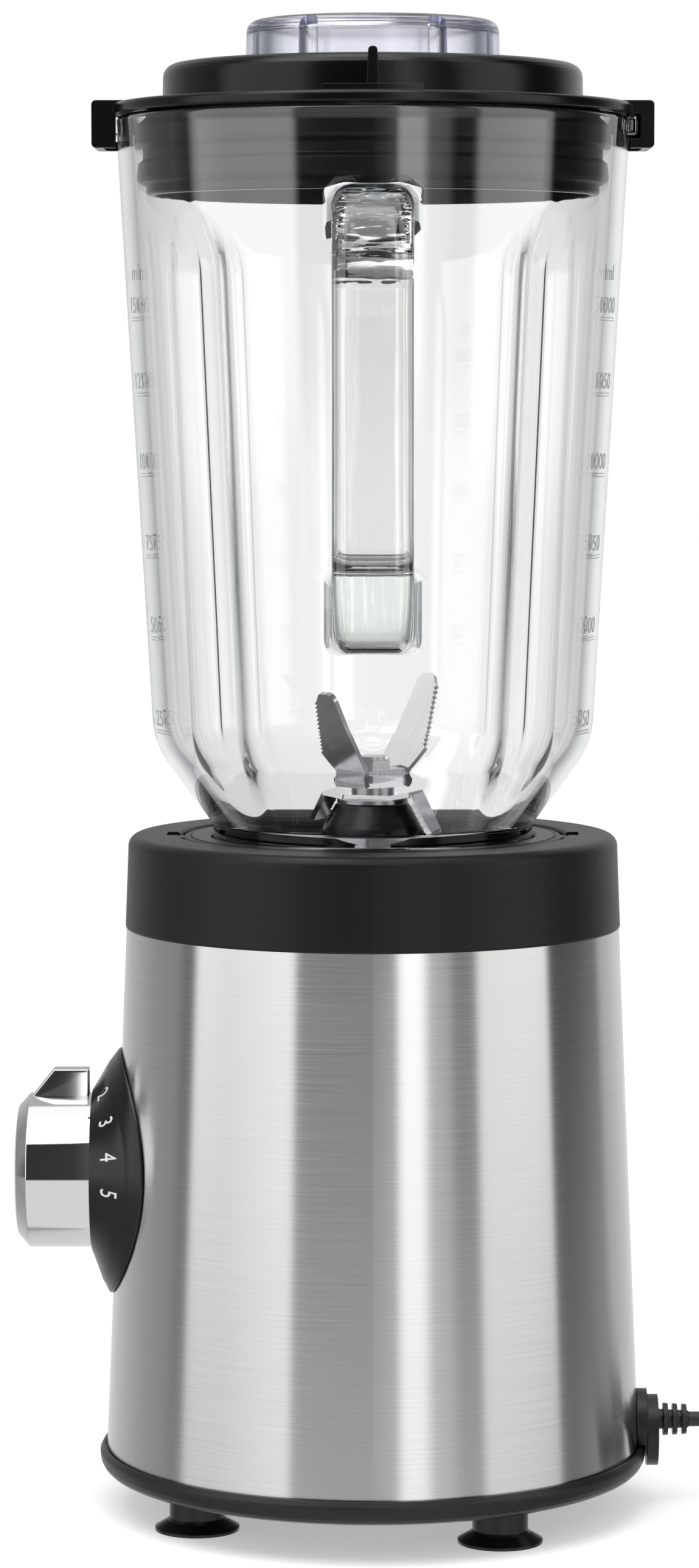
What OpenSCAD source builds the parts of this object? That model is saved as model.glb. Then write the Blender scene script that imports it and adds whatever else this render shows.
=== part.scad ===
// Countertop blender: a glass jug with a lid and cap on a steel motor base.
// Frame: the origin lies on the jug's axis at the level of the feet, +Z is up,
// -Y is the front with the dial, +Y the rear with the cord, +X the jug handle's side.

/* [Steel shell] */
// Outer radius of the steel shell at its lower edge
shell_r_bottom = 75.2; // [73:0.1:78]
// Outer radius of the steel shell at its upper edge
shell_r_top = 69.1; // [67.5:0.1:71]
// Height of the steel shell from edge to edge
shell_h = 147.6; // [140:0.1:165]
// Thickness of the steel sheet
shell_t = 0.8; // [0.5:0.1:1.2]

/* [Housing and tray] */
// Wall of the plastic housing inside the steel
housing_t = 2; // [1.6:0.1:2.6]
// Thickness of the shelf that carries the motor
shelf_t = 3; // [2:0.1:4]
// How far the tray ring stands out past the steel's lower edge
tray_lip = 1.9; // [1.7:0.1:4]
// Height of the tray's underside above the floor
tray_z = 10.9; // [9:0.1:14]
// Depth of the tray ring from its underside to the steel's lower edge
tray_ring_h = 6.2; // [5:0.1:9]
// Thickness of the tray's floor
tray_t = 2.5; // [2:0.1:3.5]
// Rounding under the tray ring
tray_fillet = 4.6; // [2:0.1:5]
// Number of air slots in the tray floor
vent_count = 16; // [8:1:20]
// Width of one air slot
vent_w = 3; // [2:0.1:4]

/* [Feet] */
// Radius of a suction cup's rim
cup_r = 11.7; // [10:0.1:14]
// Radius of a foot's stem
foot_stem_r = 7.7; // [6:0.1:9]
// Height of the cup below its stem
cup_h = 3.2; // [2.5:0.1:5]
// Distance of the feet's circle in from the steel's lower edge
foot_inset = 17.2; // [14:0.1:24]
// Angle of the rear feet from the handle's side
foot_rear_angle = 37; // [30:1:50]
// Angle of the front feet from the handle's side
foot_front_angle = 57; // [48:1:64]

/* [Collar] */
// Height of the collar above the steel shell
collar_h = 25.8; // [24.5:0.1:30]
// How far the collar's lower edge stands out past the steel
collar_lip = 0.3; // [0.1:0.1:2]
// How much narrower the collar is at its upper edge
collar_draft = 1; // [0:0.1:3]
// Width of the collar's upper rim, from its outer edge to the recess
collar_w = 14.1; // [12:0.1:18]
// Rounding of the collar's upper edge
collar_fillet = 3; // [1:0.1:4]
// Wall of the recess
recess_t = 4.3; // [3.5:0.1:5]
// Thickness of the recess floor
deck_t = 3; // [2:0.1:4]

/* [Dial] */
// Height of the knob's axis above the floor
dial_z = 95.3; // [85:0.1:105]
// Radius of the dial plate
dial_r = 34.5; // [30:0.1:38]
// How far the dial plate's rim stands out from the steel
dial_rim = 1; // [0.5:0.1:2]
// How far the dial plate's front stands out from the steel
dial_out = 7; // [6:0.1:10]
// Radius of the knob
knob_r = 21.7; // [18:0.1:24]
// Depth of the knob from back to front
knob_h = 21.7; // [18:0.1:26]
// Chamfer round the knob's face
knob_chamfer = 3.6; // [2:0.1:5]
// Height of the pointer fin above the knob's rim
fin_h = 7.2; // [4:0.1:9]
// Width of the pointer fin
fin_w = 7; // [5:0.1:10]
// Radius of the knob's spindle
spindle_r = 3; // [2.5:0.1:3.5]

/* [Jug] */
// Outer radius of the jug at its rim
jug_r = 71.2; // [70.5:0.1:71.5]
// Outer radius of the jug where its lower curve begins
jug_r_low = 61.2; // [59:0.1:63]
// Height of the jug's glass from the neck's end to the rim
jug_h = 210.3; // [200:0.1:230]
// Height of the straight wall's lower end above the neck's end
jug_curve_h = 36.5; // [34:0.1:42]
// How much wider the jug is above its neck
neck_flare = 1.2; // [0.4:0.1:3]
// Height of the neck up to where the jug widens
jug_foot_h = 15.8; // [14.8:0.1:17]
// Thickness of the glass
glass_t = 4.2; // [3.5:0.1:4.6]
// Thickness of the glass in the jug's neck
neck_t = 8.3; // [6:0.1:9]
// Radius of the rounding between wall and bottom
jug_fillet = 24; // [16:0.5:30]
// Radius of a flute's groove
flute_r = 8; // [7:0.1:9]
// Depth of a flute's groove
flute_depth = 2.6; // [1.5:0.1:2.9]
// Distance of a flute's upper end below the rim
flute_drop = 24.8; // [22:0.1:34]
// Thickness of the lugs that hold the lid
lug_h = 5.2; // [4:0.1:6]
// How far the lugs stand out past the rim
lug_out = 2.2; // [1.6:0.1:3]

/* [Jug handle] */
// Width of the handle
handle_w = 21.3; // [18:0.1:25]
// How far the handle stands out past the jug's rim
handle_out = 36.8; // [31:0.1:44]
// Thickness of the handle's grip
grip_t = 14; // [11:0.1:16]
// Height of the handle's top above the neck's end
handle_top_h = 188.5; // [180:0.1:192]
// Height of the handle from its lower to its upper edge
handle_h = 122.5; // [110:0.1:130]
// Height of the upper arm
arm_top_h = 25; // [20:0.1:30]
// Height of the lower arm
arm_low_h = 21; // [16:0.1:26]
// Width of the handle's upper root
root_w = 26; // [24:0.1:30]

/* [Jug foot] */
// Play of the jug's foot ring in the collar's recess
recess_gap = 1.3; // [0.8:0.1:2]
// Thickness of the foot ring round the jug's neck
ring_wall = 8.2; // [7:0.1:10]
// Height of the jug's foot ring
ring_h = 21.9; // [20:0.1:24]
// Width of the keys at the foot ring's sides
key_w = 8.4; // [6:0.1:10]
// How far the keys stand out
key_out = 2.6; // [2:0.1:3]
// Thickness of the gasket under the glass
gasket_t = 2; // [1:0.1:2.4]

/* [Blades] */
// Widest radius of the blade hub
hub_r = 14.4; // [12:0.1:16]
// Radius of the hub's top
hub_top_r = 10.4; // [9:0.1:11.5]
// Radius of the blade shaft
blade_shaft_r = 3; // [2.5:0.1:3.5]
// Outer radius of the shaft's bush
bush_r = 5.5; // [5:0.1:6.5]
// Thickness of a blade
blade_t = 1.4; // [1:0.1:2]
// Width of a blade at its root
blade_w = 12; // [9:0.1:14]
// Length of the shorter upper wing
upper_wing = 29; // [24:0.5:32]
// Angle at which the shorter upper wing rises
upper_angle = 62; // [50:1:70]
// Length of the taller upper wing
tall_wing = 34; // [30:0.5:36]
// Angle at which the taller upper wing rises
tall_angle = 58; // [50:1:64]
// How far a wing's toothed edge bulges past its root
wing_bulge = 2; // [1:0.1:3]
// Length of the longer lower blade's sloping part
lower_wing = 12; // [10:0.1:12.6]
// Length of the steep tip that ends the longer lower blade
lower_tip = 5.4; // [4:0.1:5.8]
// Length of the shorter lower blade's sloping part
short_wing = 8.5; // [7:0.1:10]
// Angle at which the lower blades fall
lower_angle = 62; // [50:1:66]
// Depth of the teeth on the blades
tooth = 0.45; // [0.2:0.05:0.7]
// Number of teeth on an upper wing
teeth = 14; // [8:1:16]
// Number of lobes on the drive coupling
lobe_count = 6; // [4:1:8]

/* [Lid and cap] */
// How far the lid's flange stands out past the jug's rim
lid_out = 0.9; // [0.4:0.1:1.4]
// Thickness of the lid's flange
lid_flange_t = 3.1; // [2.5:0.1:4]
// Width of the flange round the lid's raised top
flange_w = 14.1; // [12:0.1:18]
// Height of the raised top above the flange
lid_top_h = 10.8; // [8:0.1:14]
// Wall of the lid
lid_t = 2.4; // [2:0.1:3]
// Distance of the lid's skirt from the glass
skirt_gap = 4.2; // [3.6:0.1:5]
// Depth of the skirt below the flange
skirt_h = 22.3; // [18:0.1:24]
// Height of the lower seal lip above the skirt's end
lip_rise = 4.6; // [3.6:0.1:5.6]
// Distance between the two seal lips
lip_pitch = 10.2; // [9.6:0.1:11]
// Radius of the filling hole
filler_r = 31.2; // [29:0.1:32]
// How far the lid's hooks stand out past the lugs
hook_out = 4; // [3.2:0.1:6]
// Length of a hook along the rim
hook_len = 22; // [18:0.1:26]
// How far the cap's grip stands out past the filling hole
cap_lip = 4; // [3:0.1:6]
// Height of the cap's grip above the lid
cap_h = 11.8; // [10:0.1:16]
// Wall of the cap
cap_t = 1.9; // [1.5:0.1:2.5]
// Number of notches round the cap
cap_notches = 6; // [5:1:8]

/* [Motor] */
// Width across the flats of the stator stack
stator_w = 58; // [54:0.5:62]
// Height of the stator stack
stator_h = 40; // [34:0.5:44]
// Space above the stator for the coils and the upper bearing
coil_space = 24; // [22:0.5:28]
// Space below the stator for the coils and the brushes
brush_space = 32; // [30:0.5:36]
// Bore of the stator
stator_bore_r = 21.2; // [20:0.1:22]
// Air gap between rotor and stator
air_gap = 0.6; // [0.4:0.1:1]
// Radius of the motor shaft
motor_shaft_r = 4; // [3:0.1:5]
// Outer radius of the motor's bearings
bearing_r = 11; // [10:0.1:12]
// Width of the motor's bearings
bearing_h = 7; // [5:0.1:8]
// Radius of the cooling fan
fan_r = 40; // [34:0.5:44]
// Number of blades on the fan
fan_blades = 9; // [7:1:13]
// Radius of the bracket that hangs the motor from the shelf
bracket_r = 44; // [40:0.5:50]
// Thickness of the motor's brackets
bracket_t = 3; // [2.5:0.1:4]
// Length of a carbon brush's holder
brush_l = 18; // [15:0.5:20]
// Length of the control board
board_l = 50; // [40:1:60]
// Width of the control board
board_w = 28; // [22:1:34]
// Thickness of the control board
board_t = 1.6; // [1:0.1:2]

/* [Cord] */
// Diameter of the mains cord
cord_d = 4.2; // [3.6:0.1:4.6]
// Height of the cord's exit above the floor
exit_z = 23.9; // [22:0.1:26]
// Radius of the round guide disc at the exit
guide_r = 10; // [9:0.1:12]
// Length of the strain relief outside the guide
relief_len = 8.8; // [7:0.1:10]

/* [Hidden] */
$fn = 96;

// Clearances: between pieces of one body, between bodies, and of a running fit
slip = 0.1;
gap = 0.3;
run = 0.05;

// Radii that follow from the steel shell, outwards to the tray and inwards to the jug's neck
tray_r = shell_r_bottom + tray_lip;
foot_circle_r = shell_r_bottom - foot_inset;
collar_r_bottom = shell_r_top + collar_lip;
collar_r_top = collar_r_bottom - collar_draft;
recess_r = collar_r_top - collar_w;
ring_r = recess_r - recess_gap;
neck_r = ring_r - ring_wall;
jug_foot_r = neck_r + neck_flare;
neck_bore_r = neck_r - neck_t;

// Radii that follow from the jug's rim
handle_x = jug_r + handle_out;
lug_r = jug_r + lug_out;
hook_r = lug_r + hook_out;
lid_flange_r = jug_r + lid_out;
lid_top_r = lid_flange_r - flange_w;
skirt_r = jug_r - glass_t - skirt_gap;
cap_r = filler_r + cap_lip;

// Levels of the base
shell_z = tray_z + tray_ring_h;
shell_top = shell_z + shell_h;
shell_slope = (shell_r_top - shell_r_bottom) / shell_h;
shell_inset = shell_t + gap;
shelf_drop = 16.7;
shelf_z = shell_top - shelf_drop;
shelf_top = shelf_z + shelf_t;
collar_top = shell_top + collar_h;
deck_top = shell_top + deck_t + gap;
spigot_h = 9;
spigot_t = 2.1;
spigot_r = shell_r_bottom - shell_inset - housing_t - gap - slip;
collar_spigot_r = shell_r_top - shell_inset - housing_t - gap;
housing_hole_r = 5.2;
boss_r = 4.5;
boss_h = 18;
boss_circle_r = spigot_r - boss_r - 0.7;
boss_joint_z = shell_z + spigot_h;
collar_boss_circle_r = recess_r - boss_r + 0.2;
well_r = 9;

// Levels of the jug
ring_z = deck_top + gap;
shoulder_z = ring_z + 4.2;
flange_z = shoulder_z + 3;
flange_t = 2;
neck_z = flange_z + flange_t + gasket_t;
rim_z = neck_z + jug_h;
jug_slope = (jug_r - jug_r_low) / (jug_h - jug_curve_h);
disc_z = flange_z + 10.9;
hub_top_z = disc_z + 14;
washer_t = 1;
lower_blade_z = hub_top_z + gap + washer_t;
upper_blade_z = lower_blade_z + blade_t + 2;
nut_z = upper_blade_z + blade_t;
coupling_z = deck_top + 1.5;
coupling_h = 10.5;
coupling_r = 17;
pocket_z = coupling_z + 2.7;
dog_play = 0.4;
dog_z = pocket_z + dog_play;
dog_h = 7.7;

// Levels of the lid and the motor
lid_z = rim_z + gap;
flange_top = lid_z + lid_flange_t;
lid_top = flange_top + lid_top_h;
motor_top = shelf_z;
bearing_top_z = motor_top - bracket_t - bearing_h;
stator_top = motor_top - coil_space;
stator_z = stator_top - stator_h;
low_plate_z = stator_z - brush_space;
bearing_low_z = low_plate_z - bearing_h - 1;
bracket_circle_r = bracket_r - 6;
leg_at = stator_w / 2 - 5;
leg_r = 4.5;
bolt_r = 2;
screw_r = 1.6;
head_r = 3.2;
head_h = 2;

// Places of the cord's guide, strain relief and clamp
relief_y = shell_r_bottom - 15.2;
relief_r = 4.3;
relief_hole_r = 6.4;
relief_collar_t = 1.8;
guide_y = tray_r + gap;
guide_z = exit_z - 3;
guide_t = 3.2;
guide_end_y = guide_y + guide_t;
cord_start_y = guide_end_y + relief_len;
cord_top = exit_z + cord_d / 2;
clamp_y = relief_y - 8;
clamp_w = 26;
clamp_d = 8;
clamp_t = 3.5;

// Radius of the steel shell's outer face at height z, and of the jug's straight wall
function shell_r(z) = shell_r_bottom + (z - shell_z) * shell_slope;
function jug_wall_r(z) = jug_r - (rim_z - z) * jug_slope;

// Points of an arc that rounds the corner b between a and c with radius r
function unit(v) = v / norm(v);
function fillet(a, b, c, r, n) =
  let (u = unit(a - b), v = unit(c - b), half = acos(u * v) / 2,
       mid = b + unit(u + v) * r / sin(half), p = b + u * r / tan(half) - mid,
       q = b + v * r / tan(half) - mid, from = atan2(p.y, p.x),
       turn = (atan2(q.y, q.x) - from + 540) % 360 - 180)
  [for (k = [0 : n]) mid + r * [cos(from + turn * k / n), sin(from + turn * k / n)]];

// Outline through corners [x, y, radius]
function rounded(p, n = 5) = [
  for (i = [0 : len(p) - 1])
    let (a = p[(i + len(p) - 1) % len(p)], b = p[i], c = p[(i + 1) % len(p)])
    each (b.z == 0 ? [[b.x, b.y]]
                   : fillet([a.x, a.y], [b.x, b.y], [c.x, c.y], b.z, n))
];

module revolve(p, n = 5) { rotate_extrude() polygon(rounded(p, n)); }
module tube(r, bore, h) {
  difference() {
    cylinder(r = r, h = h);
    translate([0, 0, -1]) cylinder(r = bore, h = h + 2);
  }
}
module ring_of(r, count, start = 0) {
  for (k = [0 : count - 1]) rotate([0, 0, start + 360 * k / count]) translate([r, 0, 0]) children();
}
// Children drawn upwards are turned to point out of the front or the rear
module to_front(y, z) { translate([0, -y, z]) rotate([90, 0, 0]) children(); }
module to_rear(y, z) { translate([0, y, z]) rotate([-90, 0, 0]) children(); }
module bar(w, d, h) { translate([-w / 2, -d / 2, 0]) cube([w, d, h]); }

// ---- Base: shell, housing, tray, collar and feet ----

module steel_shell() color("silver") difference() {
  translate([0, 0, shell_z]) cylinder(r1 = shell_r_bottom, r2 = shell_r_top, h = shell_h);
  translate([0, 0, shell_z]) cylinder(r1 = shell_r_bottom - shell_t, r2 = shell_r_top - shell_t, h = shell_h);
  to_front(shell_r_top - 20, dial_z) cylinder(r = housing_hole_r, h = 40);
  to_rear(shell_r_top - 20, exit_z) cylinder(r = relief_hole_r, h = 40);
}

module inner_housing() color("dimgray") difference() {
  union() {
    difference() {
      translate([0, 0, shell_z])
        cylinder(r1 = shell_r_bottom - shell_inset, r2 = shell_r_top - shell_inset, h = shell_h - 0.2);
      translate([0, 0, shell_z])
        cylinder(r1 = shell_r_bottom - shell_inset - housing_t,
                 r2 = shell_r_top - shell_inset - housing_t, h = shell_h - 0.2);
    }
    translate([0, 0, shelf_z]) cylinder(r = shell_r(shelf_top) - shell_inset - housing_t / 2, h = shelf_t);
    intersection() {
      ring_of(boss_circle_r, 4, 45) translate([0, 0, boss_joint_z]) {
        cylinder(r = boss_r, h = boss_h);
        translate([0, -boss_r, 0]) cube([2 * boss_r, 2 * boss_r, boss_h]);
      }
      translate([0, 0, shell_z])
        cylinder(r1 = shell_r_bottom - shell_inset - housing_t / 2,
                 r2 = shell_r_top - shell_inset - housing_t / 2, h = shell_h);
    }
  }
  translate([0, 0, shelf_z - 1]) cylinder(r = well_r, h = shelf_t + 2);
  for (r = [bracket_circle_r, collar_boss_circle_r])
    ring_of(r, 4) translate([0, 0, shelf_z - 1]) cylinder(r = screw_r + slip, h = shelf_t + 2);
  ring_of(boss_circle_r, 4, 45) translate([0, 0, boss_joint_z - 1]) cylinder(r = screw_r, h = screw_bite + 3);
  to_front(shell_r_top - 20, dial_z) cylinder(r = housing_hole_r, h = 40);
  to_rear(shell_r_top - 20, exit_z) cylinder(r = relief_hole_r, h = 40);
}

tray_top = tray_z + tray_t;
foot_plug_r = 4.4;
foot_plug_h = 4;
screw_bite = 10;
screw_sink = 3;
post_r = 3.2;
post_at = clamp_w / 2 - 4;
module base_tray() color("black") difference() {
  union() {
    revolve([[0, tray_z, 0], [tray_r, tray_z, tray_fillet], [tray_r, shell_z - 0.6, 0],
             [tray_r - 0.8, shell_z + 0.8, 0], [shell_r_bottom + 0.4, shell_z + 0.8, 0],
             [shell_r_bottom + 0.4, shell_z, 0], [spigot_r, shell_z, 0],
             [spigot_r, boss_joint_z - 0.2, 0], [spigot_r - spigot_t, boss_joint_z - 0.2, 0],
             [spigot_r - spigot_t, tray_z + tray_t, 0], [0, tray_z + tray_t, 0]]);
    intersection() {
      ring_of(boss_circle_r, 4, 45) translate([0, 0, tray_z]) cylinder(r = boss_r, h = boss_joint_z - tray_z);
      cylinder(r = spigot_r - spigot_t / 4, h = boss_joint_z);
    }
    for (x = [-post_at, post_at]) translate([x, clamp_y, tray_z]) cylinder(r = post_r, h = cord_top - tray_z);
    on_board() translate([0, 0, tray_z - board_z]) cylinder(r = post_r, h = board_z - tray_z);
  }
  ring_of(vent_r, vent_count, 180 / vent_count) translate([-vent_l / 2, -vent_w / 2, tray_z - 1])
    cube([vent_l, vent_w, tray_t + 2]);
  ring_of(boss_circle_r, 4, 45) translate([0, 0, tray_z - 1]) {
    cylinder(r = screw_r + slip, h = spigot_h * 3);
    cylinder(r = head_r + 0.4, h = screw_sink + 1);
  }
  for (p = foot_places) translate([p.x, p.y, tray_z - 1]) cylinder(r = foot_plug_r + slip, h = tray_t + 2);
  to_rear(spigot_r - 8, exit_z) cylinder(r = relief_hole_r + 0.2, h = 10);
}

vent_l = 14;
vent_r = 26;
foot_places = [for (s = [1, -1]) each [
  foot_circle_r * [s * cos(foot_rear_angle), sin(foot_rear_angle)],
  foot_circle_r * [s * cos(foot_front_angle), -sin(foot_front_angle)]]];
module foot(i) color("#1a1a1a") translate([foot_places[i].x, foot_places[i].y, 0])
  revolve([[0, 2.2, 0], [cup_r - 2.4, 0.7, 0], [cup_r - 1.6, 0, 0], [cup_r, 0, 0], [cup_r, 0.8, 0],
           [foot_stem_r + 0.6, cup_h - 0.4, 0], [foot_stem_r, cup_h + 0.4, 0],
           [foot_stem_r, tray_z, 0.8], [foot_plug_r, tray_z, 0], [foot_plug_r, tray_top, 0],
           [foot_plug_r + 1.4, tray_top + 0.1, 0], [foot_plug_r + 1.2, tray_top + 1.6, 0],
           [foot_plug_r - 0.8, tray_top + foot_plug_h, 0], [0, tray_top + foot_plug_h, 0]]);

module screw(length) {
  cylinder(r = screw_r, h = length);
  translate([0, 0, -head_h]) cylinder(r = head_r, h = head_h);
}
module tray_screws() color("gray") ring_of(boss_circle_r, 4, 45)
  translate([0, 0, tray_z + screw_sink]) screw(boss_joint_z + screw_bite - tray_z - screw_sink);

module top_collar() color("black") difference() {
  union() {
    revolve([[well_r, deck_top - deck_t, 0], [recess_r + recess_t, deck_top - deck_t, 0],
             [recess_r + recess_t, collar_top - rim_t, 0],
             [collar_r_bottom - rim_t, collar_top - rim_t, 0], [collar_r_bottom - rim_t, deck_top, 0],
             [collar_spigot_r - rim_t, deck_top, 0], [collar_spigot_r - rim_t, shell_top - spigot_h, 0],
             [collar_spigot_r, shell_top - spigot_h, 0], [collar_spigot_r, shell_top, 0],
             [collar_r_bottom, shell_top, 0.5], [collar_r_top, collar_top, collar_fillet],
             [recess_r, collar_top, 1], [recess_r, deck_top, 0], [well_r, deck_top, 0]]);
    ring_of(collar_boss_circle_r, 4) translate([0, 0, shelf_top])
      cylinder(r = boss_r, h = deck_top - deck_t + 1 - shelf_top);
  }
  for (s = [-1, 1]) translate([0, s * recess_r, key_z - 1.8]) bar(key_w + 0.8, 2 * key_out + 1.6, collar_h);
  ring_of(collar_boss_circle_r, 4) translate([0, 0, shelf_top - 1]) cylinder(r = screw_r, h = screw_bite + 1);
}
rim_t = 2.5;
key_z = ring_z + 9.5;

module shelf_screws() color("gray") {
  ring_of(bracket_circle_r, 4) translate([0, 0, shelf_top]) mirror([0, 0, 1]) screw(shelf_t + bracket_t - 0.8);
  ring_of(collar_boss_circle_r, 4) translate([0, 0, shelf_z]) screw(shelf_t + screw_bite - 1);
}

// ---- Dial, knob and switch ----

dial_y = shell_r(dial_z) + dial_out;
dial_bevel = 3;
dish_r = knob_r + 0.9;
dish_y = dial_y - 1.1;
knob_back_y = dial_y - 0.6;
dial_sides = 48;
// Distance of the steel's face from the plane Y = 0 at [x, z]
function shell_y(x, z) = sqrt(pow(shell_r(z), 2) - x * x);
// A ring of the plate: it lies at depth y, or on the steel at that stand-off when mix is 1
function dial_ring(r, y, mix, off) = [
  for (i = [0 : dial_sides - 1])
    let (a = 360 * i / dial_sides, x = r * sin(a), z = dial_z + r * cos(a))
    [x, -(y * (1 - mix) + (shell_y(x, z) + off) * mix), z]];
dial_slope = (dial_r - dial_bevel - dish_r) / (dial_r - dish_r);

// The plate's front with a shallow dish for the knob, and its back along the steel
module dial_plate() color("#202020") {
  hole_r = housing_hole_r;
  front = [dial_ring(hole_r, dish_y, 0, 0), dial_ring(dish_r, dish_y, 0, 0),
           dial_ring(dish_r, dial_y, 0, 0), front_ring(dial_r - dial_bevel),
           dial_ring(dial_r, 0, 1, dial_rim)];
  back = [for (k = [0 : 5]) dial_ring(dial_r + (hole_r - dial_r) * k / 5, 0, 1, slip)];
  loft(concat(front, back));
}
// The face's outer ring lies a share of the way from the knob's edge to the rim
function front_ring(r) = [
  for (i = [0 : dial_sides - 1])
    let (a = 360 * i / dial_sides, x = dial_r * sin(a), z = dial_z + dial_r * cos(a),
         rim = shell_y(x, z) + dial_rim * 1.5)
    [r * sin(a), -(dial_y + (rim - dial_y) * dial_slope), dial_z + r * cos(a)]];
// A closed skin through rings of equal length, the last joined to the first
module loft(rings) {
  n = len(rings[0]);
  m = len(rings);
  polyhedron(points = [for (ring = rings) each ring],
    faces = [for (j = [0 : m - 1], i = [0 : n - 1])
      let (k = (j + 1) % m, a = j * n + i, b = j * n + (i + 1) % n, c = k * n + i, d = k * n + (i + 1) % n)
      each [[a, c, b], [b, c, d]]]);
}

// A hollow knob with a sleeve on the spindle, and the pointer fin that stands over its rim
knob_wall = 2.2;
knob_face_t = 5;
module knob() color("gainsboro") to_front(knob_back_y, dial_z) {
  bore = spindle_r + run;
  chamfer_z = knob_h - knob_chamfer;
  fin_z = 1.4;
  revolve([[bore, 1.5, 0], [bore + 3.5, 1.5, 0], [bore + 3.5, knob_h - 3, 0],
           [knob_r - knob_wall, chamfer_z - 2, 1], [knob_r - knob_wall, 0, 0],
           [knob_r, 0, 0.4], [knob_r, chamfer_z, 0.6], [knob_r - knob_chamfer, knob_h, 0.8],
           [0, knob_h, 0], [0, knob_h - knob_face_t, 0], [bore, knob_h - knob_face_t, 0]]);
  rotate([90, 0, 90]) translate([0, 0, -fin_w / 2]) linear_extrude(fin_w)
    polygon(rounded([[knob_r - 1.5, fin_z, 0], [knob_r + fin_h, fin_z, 0.6],
                     [knob_r + fin_h, fin_z + 10, 0.6], [knob_r, chamfer_z - 0.8, 0],
                     [knob_r - 1.5, chamfer_z - 0.8, 0]]));
}
// The switch stands behind the steel, a few millimetres clear of the housing's wall
switch_y = shell_r(dial_z) - shell_inset - housing_t - 6.9;
switch_w = 28;
switch_d = 14;
spindle_in = 10;
module knob_spindle() color("gray") to_front(switch_y - spindle_in, dial_z)
  cylinder(r = spindle_r, h = knob_back_y + knob_h - knob_face_t - 0.2 - switch_y + spindle_in);
module rotary_switch() color("#303030") difference() {
  union() {
    translate([0, -switch_y + switch_d / 2, dial_z]) cube([switch_w, switch_d, switch_w], center = true);
    to_front(switch_y, dial_z) cylinder(r = housing_hole_r - 0.4, h = dish_y - switch_y - 0.2);
    for (x = [-9, 0, 9]) translate([x - 1.5, -switch_y + switch_d, dial_z - 3]) cube([3, 6, 1]);
  }
  to_front(switch_y - spindle_in - 1, dial_z) cylinder(r = spindle_r + run, h = dial_y);
}

board_z = tray_z + tray_t + 3;
board_y = -24;
board_holes = [board_l / 2 - 5, board_w / 2 - 4];
module on_board() {
  for (x = [-board_holes.x, board_holes.x], y = [-board_holes.y, board_holes.y])
    translate([x, board_y + y, board_z]) children();
}
module control_board() color("darkgreen") {
  difference() {
    translate([0, board_y, board_z]) bar(board_l, board_w, board_t);
    on_board() translate([0, 0, -1]) cylinder(r = 1.5, h = board_t + 2);
  }
  relay_l = 12;
  relay_w = 10;
  relay_h = 5;
  capacitor_r = 4;
  capacitor_h = 6;
  translate([-board_l / 5, board_y - 1, board_z + board_t]) bar(relay_l, relay_w, relay_h);
  translate([board_l / 5, board_y, board_z + board_t]) cylinder(r = capacitor_r, h = capacitor_h);
}

// ---- Motor ----

coil_r = stator_bore_r + 5.4;
coil_h = 9.7;
pole_w = 26;
module motor_stator() color("slategray")
translate([0, 0, stator_z]) linear_extrude(stator_h) difference() {
  intersection() {
    square(stator_w, center = true);
    circle(r = stator_w * 0.64);
  }
  circle(r = stator_bore_r);
  difference() {
    circle(r = coil_r + 0.4);
    square([pole_w, 2 * stator_w], center = true);
  }
  for (x = [-leg_at, leg_at], y = [-leg_at, leg_at]) translate([x, y]) circle(r = bolt_r + slip);
}
module field_coils() color("peru") {
  for (z = [stator_z - slip - coil_h, stator_top + slip])
    translate([0, 0, z]) tube(coil_r, stator_bore_r + 0.8, coil_h);
  intersection() {
    translate([0, 0, stator_z - 1]) tube(coil_r, stator_bore_r + 0.8, stator_h + 2);
    for (s = [-1, 1]) translate([s * (pole_w / 2 + 10.6), 0, stator_z - 1])
      bar(20, 2 * stator_w, stator_h + 2);
  }
}
module legs(z, h) {
  for (x = [-leg_at, leg_at], y = [-leg_at, leg_at]) translate([x, y, z]) cylinder(r = leg_r, h = h);
}
module leg_bores(z, h) {
  for (x = [-leg_at, leg_at], y = [-leg_at, leg_at]) translate([x, y, z]) cylinder(r = bolt_r + slip, h = h);
}
shaft_hole_r = motor_shaft_r + 3;
bearing_seat_r = bearing_r + 3;
module upper_bracket() color("lightgray") difference() {
  union() {
    translate([0, 0, motor_top - bracket_t]) cylinder(r = bracket_r, h = bracket_t);
    translate([0, 0, bearing_top_z - 1]) cylinder(r = bearing_seat_r, h = bearing_h + 2);
    legs(stator_top, motor_top - 1 - stator_top);
  }
  translate([0, 0, bearing_top_z]) cylinder(r = bearing_r, h = coil_space);
  translate([0, 0, stator_top]) cylinder(r = shaft_hole_r, h = coil_space + 1);
  leg_bores(stator_top - 1, motor_top - stator_top - 1);
  translate([0, 0, motor_top - bracket_t - 1]) {
    ring_of(bracket_circle_r, 4) cylinder(r = screw_r, h = bracket_t + 2);
    ring_of(bearing_seat_r + 13, 4, 45) bar(5, 16, bracket_t + 2);
  }
}
module lower_bracket() color("lightgray") difference() {
  union() {
    for (a = [45, -45]) rotate([0, 0, a])
      translate([0, 0, low_plate_z]) bar(2 * (leg_at * sqrt(2) + leg_r), 16, bracket_t);
    translate([0, 0, bearing_low_z]) cylinder(r = bearing_seat_r, h = low_plate_z + 1 - bearing_low_z);
    translate([0, 0, low_plate_z]) bar(2 * (brush_at + brush_l / 2) + 5, 14, bracket_t);
    legs(low_plate_z + 1, stator_z - low_plate_z - 1);
  }
  translate([0, 0, bearing_low_z - 1]) cylinder(r = bearing_r, h = bearing_h + 1);
  translate([0, 0, bearing_low_z - 1]) cylinder(r = shaft_hole_r, h = bearing_h + bracket_t + 3);
  leg_bores(low_plate_z - 1, stator_z - low_plate_z + 2);
}
module bearing(z) color("silver") translate([0, 0, z]) tube(bearing_r, motor_shaft_r + run, bearing_h);
commutator_r = 11;
commutator_h = 13;
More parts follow.
